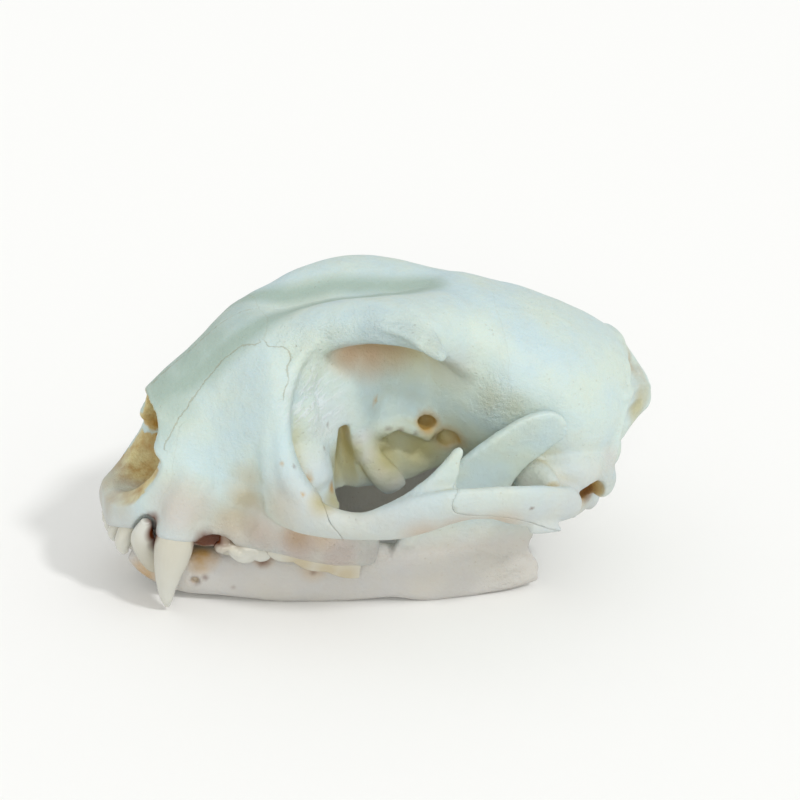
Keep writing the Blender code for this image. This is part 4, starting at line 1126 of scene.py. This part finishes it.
def shade_low(made, top, depth, strength, out_from=-LOW_SHADE_FADE):
    """Paints the low bones greyer and pinker than the vault: painted shade, with warm light
    bounced from below.
    """
    points, _ = points_of(made)
    aside = np.clip((np.abs(points[:, 1]) - out_from) / LOW_SHADE_FADE, 0.0, 1.0)
    deepen(made, "rosy_shade", strength * aside * np.clip((top - points[:, 2]) / depth, 0.0, 1.0))


shade_nose(cranium)
shade_band(cranium, "dusk", DUSK_BAND, radius=3.6, strength=0.95)
shade_low(cranium, top=8.0, depth=10.0, strength=0.45)
for bone in skull_bones:
    shade_low(bone, top=22.0, depth=12.0, strength=0.35, out_from=20.0)
for bone in jaw_bones:
    shade_low(bone, top=4.0, depth=10.0, strength=0.6)
for piece in teeth:
    points, _ = points_of(piece)
    low, high = points[:, 2].min(), points[:, 2].max()
    share = (points[:, 2] - low) / (high - low)
    paint(piece, "root", share if piece.name.startswith("upper") else 1.0 - share)
print("attributes:", [a.name for a in cranium.data.attributes if a.name in SPOTS])

# %% [markdown]
# ## Into the frame
# The pieces were made in millimetres on the skull's own lines. Now their meshes are scaled
# and moved, not their objects, so that every object stays at the origin.

# %% Settle the pieces
FRONT_EDGE = -60.68 * MM   # where the solids end in front; softened tips stop there too


def settle(made):
    made.data.transform(Matrix.Translation(TO_FRAME))
    made.data.transform(Matrix.Diagonal((MM, MM, MM, 1.0)))
    for vertex in made.data.vertices:
        vertex.co.x = max(vertex.co.x, FRONT_EDGE)
    made.data.polygons.foreach_set("use_smooth", [True] * len(made.data.polygons))
    made.data.update()
    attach(made, "root")


for piece in bones + teeth:
    settle(piece)
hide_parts("cranium")
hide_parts("zygomatic_left")
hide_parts("zygomatic_right")
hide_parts("mandible_left")
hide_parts("mandible_right")
print(len(bones + teeth), "pieces settled")

# %% [markdown]
# ## Finishes
# Clean dry bone is matt, slightly translucent and never one colour: cool white where it is
# thick and polished, warmer where it is thin, with painted shade where it is hemmed in.
# Enamel is denser and glossy.

# %% A node at a time
def linear(hex_colour):
    """An sRGB hex value as linear red, green and blue, with alpha."""
    parts = [int(hex_colour[i:i + 2], 16) / 255.0 for i in (1, 3, 5)]
    return tuple(c / 12.92 if c <= 0.04045 else ((c + 0.055) / 1.055) ** 2.4
                 for c in parts) + (1.0,)


def add(tree, kind, links=None, sockets=None, **settings):
    """A node with its settings, its socket values and its incoming links."""
    node = tree.nodes.new(kind)
    for key, value in settings.items():
        setattr(node, key, value)
    for key, value in (sockets or {}).items():
        node.inputs[key].default_value = value
    for key, source in (links or {}).items():
        tree.links.new(source, node.inputs[key])
    return node


def feed(tree, socket, value):
    """Gives a socket its value, or the link it comes by."""
    if isinstance(value, (int, float, tuple)):
        socket.default_value = value
    else:
        tree.links.new(value, socket)


def mix(tree, share, first, second):
    """Two colours mixed by a share that is a number or a socket."""
    node = add(tree, "ShaderNodeMix", data_type="RGBA")
    for k, value in ((0, share), (6, first), (7, second)):   # a mix node's inputs for colours
        feed(tree, node.inputs[k], value)
    return node.outputs[2]


def ramp(tree, source, low, high):
    node = add(tree, "ShaderNodeMapRange", {"Value": source},
               {"From Min": low, "From Max": high}, clamp=True)
    return node.outputs["Result"]


# %% Fine patterns of bone
def bumpy(tree, layers):
    """Stacks bumps: each layer is a height socket, its strength and its depth in metres."""
    normal = None
    for height, strength, depth in layers:
        node = add(tree, "ShaderNodeBump", {"Height": height},
                   {"Strength": strength, "Distance": depth})
        if normal is not None:
            tree.links.new(normal, node.inputs["Normal"])
        normal = node.outputs["Normal"]
    return normal


def maths(tree, kind, first, second):
    """One Math node: each input is a socket or a number."""
    node = add(tree, "ShaderNodeMath", operation=kind)
    feed(tree, node.inputs[0], first)
    feed(tree, node.inputs[1], second)
    return node.outputs["Value"]


def times(tree, first, second):
    return maths(tree, "MULTIPLY", first, second)


def attribute(tree, name):
    return add(tree, "ShaderNodeAttribute", attribute_name=name).outputs["Fac"]


def clouds(tree, place, per_metre, detail=3.0, roughness=0.55):
    made = add(tree, "ShaderNodeTexNoise", {"Vector": place},
               {"Scale": per_metre, "Detail": detail, "Roughness": roughness})
    return made.outputs["Fac"]


def joint_line(tree, place):
    """One where a joint of the skull runs: the signed distance made to wander, then narrowed."""
    wander = times(tree, maths(tree, "SUBTRACT", clouds(tree, place, 620.0), 0.5), 1.3)
    off = maths(tree, "ABSOLUTE", maths(tree, "ADD", attribute(tree, "seam"), wander), 0.0)
    return times(tree, ramp(tree, off, 0.2, 0.05), attribute(tree, "seam_near"))


def scratches(tree, place, per_metre, tilt):
    """Noise drawn out along one slanting direction."""
    turned = add(tree, "ShaderNodeVectorRotate", {"Vector": place},
                 {"Axis": (0.0, 1.0, 0.0), "Angle": math.radians(tilt)})
    drawn = add(tree, "ShaderNodeVectorMath", {0: turned.outputs["Vector"]},
                {1: (0.16, 1.0, 1.0)}, operation="MULTIPLY")
    return clouds(tree, drawn.outputs["Vector"], per_metre, 2.0)


def pores(tree, place, per_metre, size):
    """Small round pits, one in each cell of a loose grid."""
    cells = add(tree, "ShaderNodeTexVoronoi", {"Vector": place}, {"Scale": per_metre})
    return ramp(tree, cells.outputs["Distance"], size, 0.5 * size)


# %% Two halves of every material
def blank(name):
    """A new material, its node tree, its shader and the place on the model in metres."""
    made = bpy.data.materials.new(name)
    made.use_nodes = True
    tree = made.node_tree
    place = add(tree, "ShaderNodeTexCoord").outputs["Object"]
    return made, tree, tree.nodes["Principled BSDF"], place


def surface(tree, shader, colour, normal, values):
    tree.links.new(colour, shader.inputs["Base Color"])
    tree.links.new(normal, shader.inputs["Normal"])
    for name, value in values.items():
        shader.inputs[name].default_value = value


# %% Bone
BONE_COOL = linear("#BACDCE")
BONE_WARM = linear("#C4D1C6")
BONE_SCORED_AND_LIT = linear("#D5DBDF")
# Painted shade: yellow in hemmed-in places, brown in the deepest recesses and small pores.
BONE_SHADE_YELLOW = linear("#CBBE86")
BONE_SHADE_BROWN = linear("#9C7A3E")
# Stains and painted shade, in the order in which one lies over the other.
STAINS_AND_SHADE = {
    "dusk": linear("#9DB0A4"), "tan": linear("#B0A88E"), "rosy_shade": linear("#BFAFA8"),
    "olive": linear("#B4AC78"), "umber_shade": linear("#B89E80"), "ochre": linear("#B78A35"),
    "brown": linear("#5E2C0C"),
}
RAGGED = ("ochre", "brown")
# Painted shade inside the nose: a light and a dark ochre, mixed by the mottling.
NOSE_LIGHT = linear("#CFC694")
NOSE_DARK = linear("#A47E35")
SEAM_COLOUR = linear("#8F8560")


def dry_bone(name):
    """Macerated, whitened bone: matt, faintly see-through, with painted shade in its recesses."""
    made, tree, shader, place = blank(name)
    patchy = clouds(tree, place, 70.0)
    mottled = clouds(tree, place, 330.0, 4.0)
    grain = clouds(tree, place, 1500.0, 3.0)
    colour = mix(tree, ramp(tree, patchy, 0.38, 0.62), BONE_COOL, BONE_WARM)
    colour = mix(tree, times(tree, ramp(tree, mottled, 0.5, 0.75), 0.12),
                 colour, STAINS_AND_SHADE["tan"])
    # Painted shade from ambient occlusion: yellow in recesses, brown in the deepest of them.
    occlusion = add(tree, "ShaderNodeAmbientOcclusion", sockets={"Distance": 0.012}, samples=8,
                  only_local=True)
    colour = mix(tree, ramp(tree, occlusion.outputs["AO"], 0.8, 0.3), colour, BONE_SHADE_YELLOW)
    colour = mix(tree, ramp(tree, occlusion.outputs["AO"], 0.32, 0.08), colour, BONE_SHADE_BROWN)
    # Painted light: the pale spots whiten the bone where light falls in the socket.
    colour = mix(tree, attribute(tree, "pale"), colour, BONE_SCORED_AND_LIT)
    # The ochre and the brown keep ragged edges: they are weighed against the mottling.
    ragged = ramp(tree, mottled, 0.3, 0.62)
    for stain_or_shade, tone in STAINS_AND_SHADE.items():
        share = attribute(tree, stain_or_shade)
        if stain_or_shade in RAGGED:
            edge = maths(tree, "ADD", times(tree, ragged, 0.5), 0.6)
            share = maths(tree, "MINIMUM", times(tree, share, edge), 1.0)
        colour = mix(tree, share, colour, tone)
    lines = scratches(tree, place, 1300.0, 40.0)
    scored = times(tree, ramp(tree, lines, 0.5, 0.6), attribute(tree, "scored"))
    colour = mix(tree, times(tree, scored, 0.55), colour, BONE_SCORED_AND_LIT)
    # Painted shade inside the nose.
    inside = mix(tree, ramp(tree, mottled, 0.3, 0.7), NOSE_LIGHT, NOSE_DARK)
    colour = mix(tree, attribute(tree, "nose"), colour, inside)
    line = joint_line(tree, place)
    colour = mix(tree, times(tree, line, 0.7), colour, SEAM_COLOUR)
    # Painted shade in the small pores: they are darkened with the deep brown.
    pits = times(tree, pores(tree, place, 700.0, 0.17), ramp(tree, patchy, 0.48, 0.6))
    colour = mix(tree, times(tree, pits, 0.15), colour, BONE_SHADE_BROWN)
    sunk = maths(tree, "SUBTRACT", maths(tree, "SUBTRACT", 1.0, line), pits)
    crumbly = maths(tree, "ADD", times(tree, attribute(tree, "rough"), 2.2), 0.4)
    crumbly = times(tree, clouds(tree, place, 800.0, 5.0, 0.7), crumbly)
    normal = bumpy(tree, [
        (mottled, 0.4, 0.0008), (crumbly, 0.8, 0.0005), (grain, 0.5, 0.00018),
        (scored, 0.4, 0.0002), (sunk, 0.5, 0.0002),
    ])
    surface(tree, shader, colour, normal, {
        "Roughness": 0.52, "Subsurface Weight": 0.15, "Subsurface Radius": (1.0, 0.7, 0.5),
        "Subsurface Scale": 0.0015,
    })
    return made


# %% Enamel
ENAMEL_TIP = linear("#C7C7BE")
ENAMEL_GUM = linear("#BDB9A8")
ENAMEL_WORN = linear("#B3A27C")


def enamel(name):
    """Tooth enamel: dense, cream to grey-white, with a wet-looking gloss."""
    made, tree, shader, place = blank(name)
    cloudy = clouds(tree, place, 260.0, 4.0)
    fall = maths(tree, "ADD", attribute(tree, "root"), times(tree, cloudy, 0.3))
    colour = mix(tree, ramp(tree, fall, 0.3, 0.95), ENAMEL_TIP, ENAMEL_GUM)
    colour = mix(tree, attribute(tree, "tan"), colour, ENAMEL_WORN)
    # Painted shade where the teeth stand in the dark gaps between them.
    colour = mix(tree, attribute(tree, "brown"), colour, STAINS_AND_SHADE["brown"])
    surface(tree, shader, colour, bumpy(tree, [(cloudy, 0.12, 0.0004)]), {
        "Roughness": 0.27, "IOR": 1.6, "Subsurface Weight": 0.1,
        "Subsurface Radius": (1.0, 0.8, 0.6), "Subsurface Scale": 0.001,
    })
    return made


# %% Give each piece its finish
bone_material = dry_bone("macerated_bone")
enamel_material = enamel("tooth_enamel")
for pieces, material in ((bones, bone_material), (teeth, enamel_material)):
    for piece in pieces:
        piece.data.materials.clear()
        piece.data.materials.append(material)
print("materials:", bone_material.name, enamel_material.name)

# %% [markdown]
# ## Floor and light
# The photograph is a soft, bright studio shot. One lamp overhead gives the shade inside the
# eye sockets, and pale surroundings fill the rest.

# %% Floor
FLOOR_HALF = 3.0   # metres


def make_floor():
    shape = bmesh.new()
    bmesh.ops.create_grid(shape, x_segments=1, y_segments=1, size=FLOOR_HALF)
    floor = as_object("floor", shape)
    material = bpy.data.materials.new("pale_paper")   # matt, to catch only soft shadows
    material.use_nodes = True
    shader = material.node_tree.nodes["Principled BSDF"]
    shader.inputs["Base Color"].default_value = linear("#F4F3F0")
    shader.inputs["Roughness"].default_value = 0.9
    floor.data.materials.append(material)
    floor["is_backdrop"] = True


make_floor()

# %% Light
def far_lamp(name, azimuth, elevation, spread, strength, colour):
    """A lamp so far away that it lights all of the floor alike. Its spread softens shadows."""
    data = bpy.data.lights.new(name, "SUN")
    data.angle = math.radians(spread)
    data.energy = strength
    data.color = linear(colour)[:3]
    lamp = bpy.data.objects.new(name, data)
    lamp.rotation_euler = out_to(azimuth, elevation).to_track_quat("Z", "Y").to_euler()
    scene.collection.objects.link(lamp)


far_lamp("overhead", 36.0, 48.0, spread=7.0, strength=1.05, colour="#FDFDFF")
far_lamp("by_the_camera", VIEW_AZIMUTH, VIEW_ELEVATION, spread=25.0, strength=0.72,
         colour="#FFFCF6")
world = bpy.data.worlds.new("studio")
scene.world = world
world.use_nodes = True
sky = world.node_tree.nodes["Background"]
sky.inputs["Color"].default_value = linear("#F8FAFB")
sky.inputs["Strength"].default_value = 0.8
scene.view_settings.view_transform = "Standard"

# %% [markdown]
# ## Finish
# The size of the dressed model is printed, in millimetres.

# %% Print the size
low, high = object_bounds()
print("visual box in mm:", [round((b - a) * 1000, 1) for a, b in zip(low, high)])
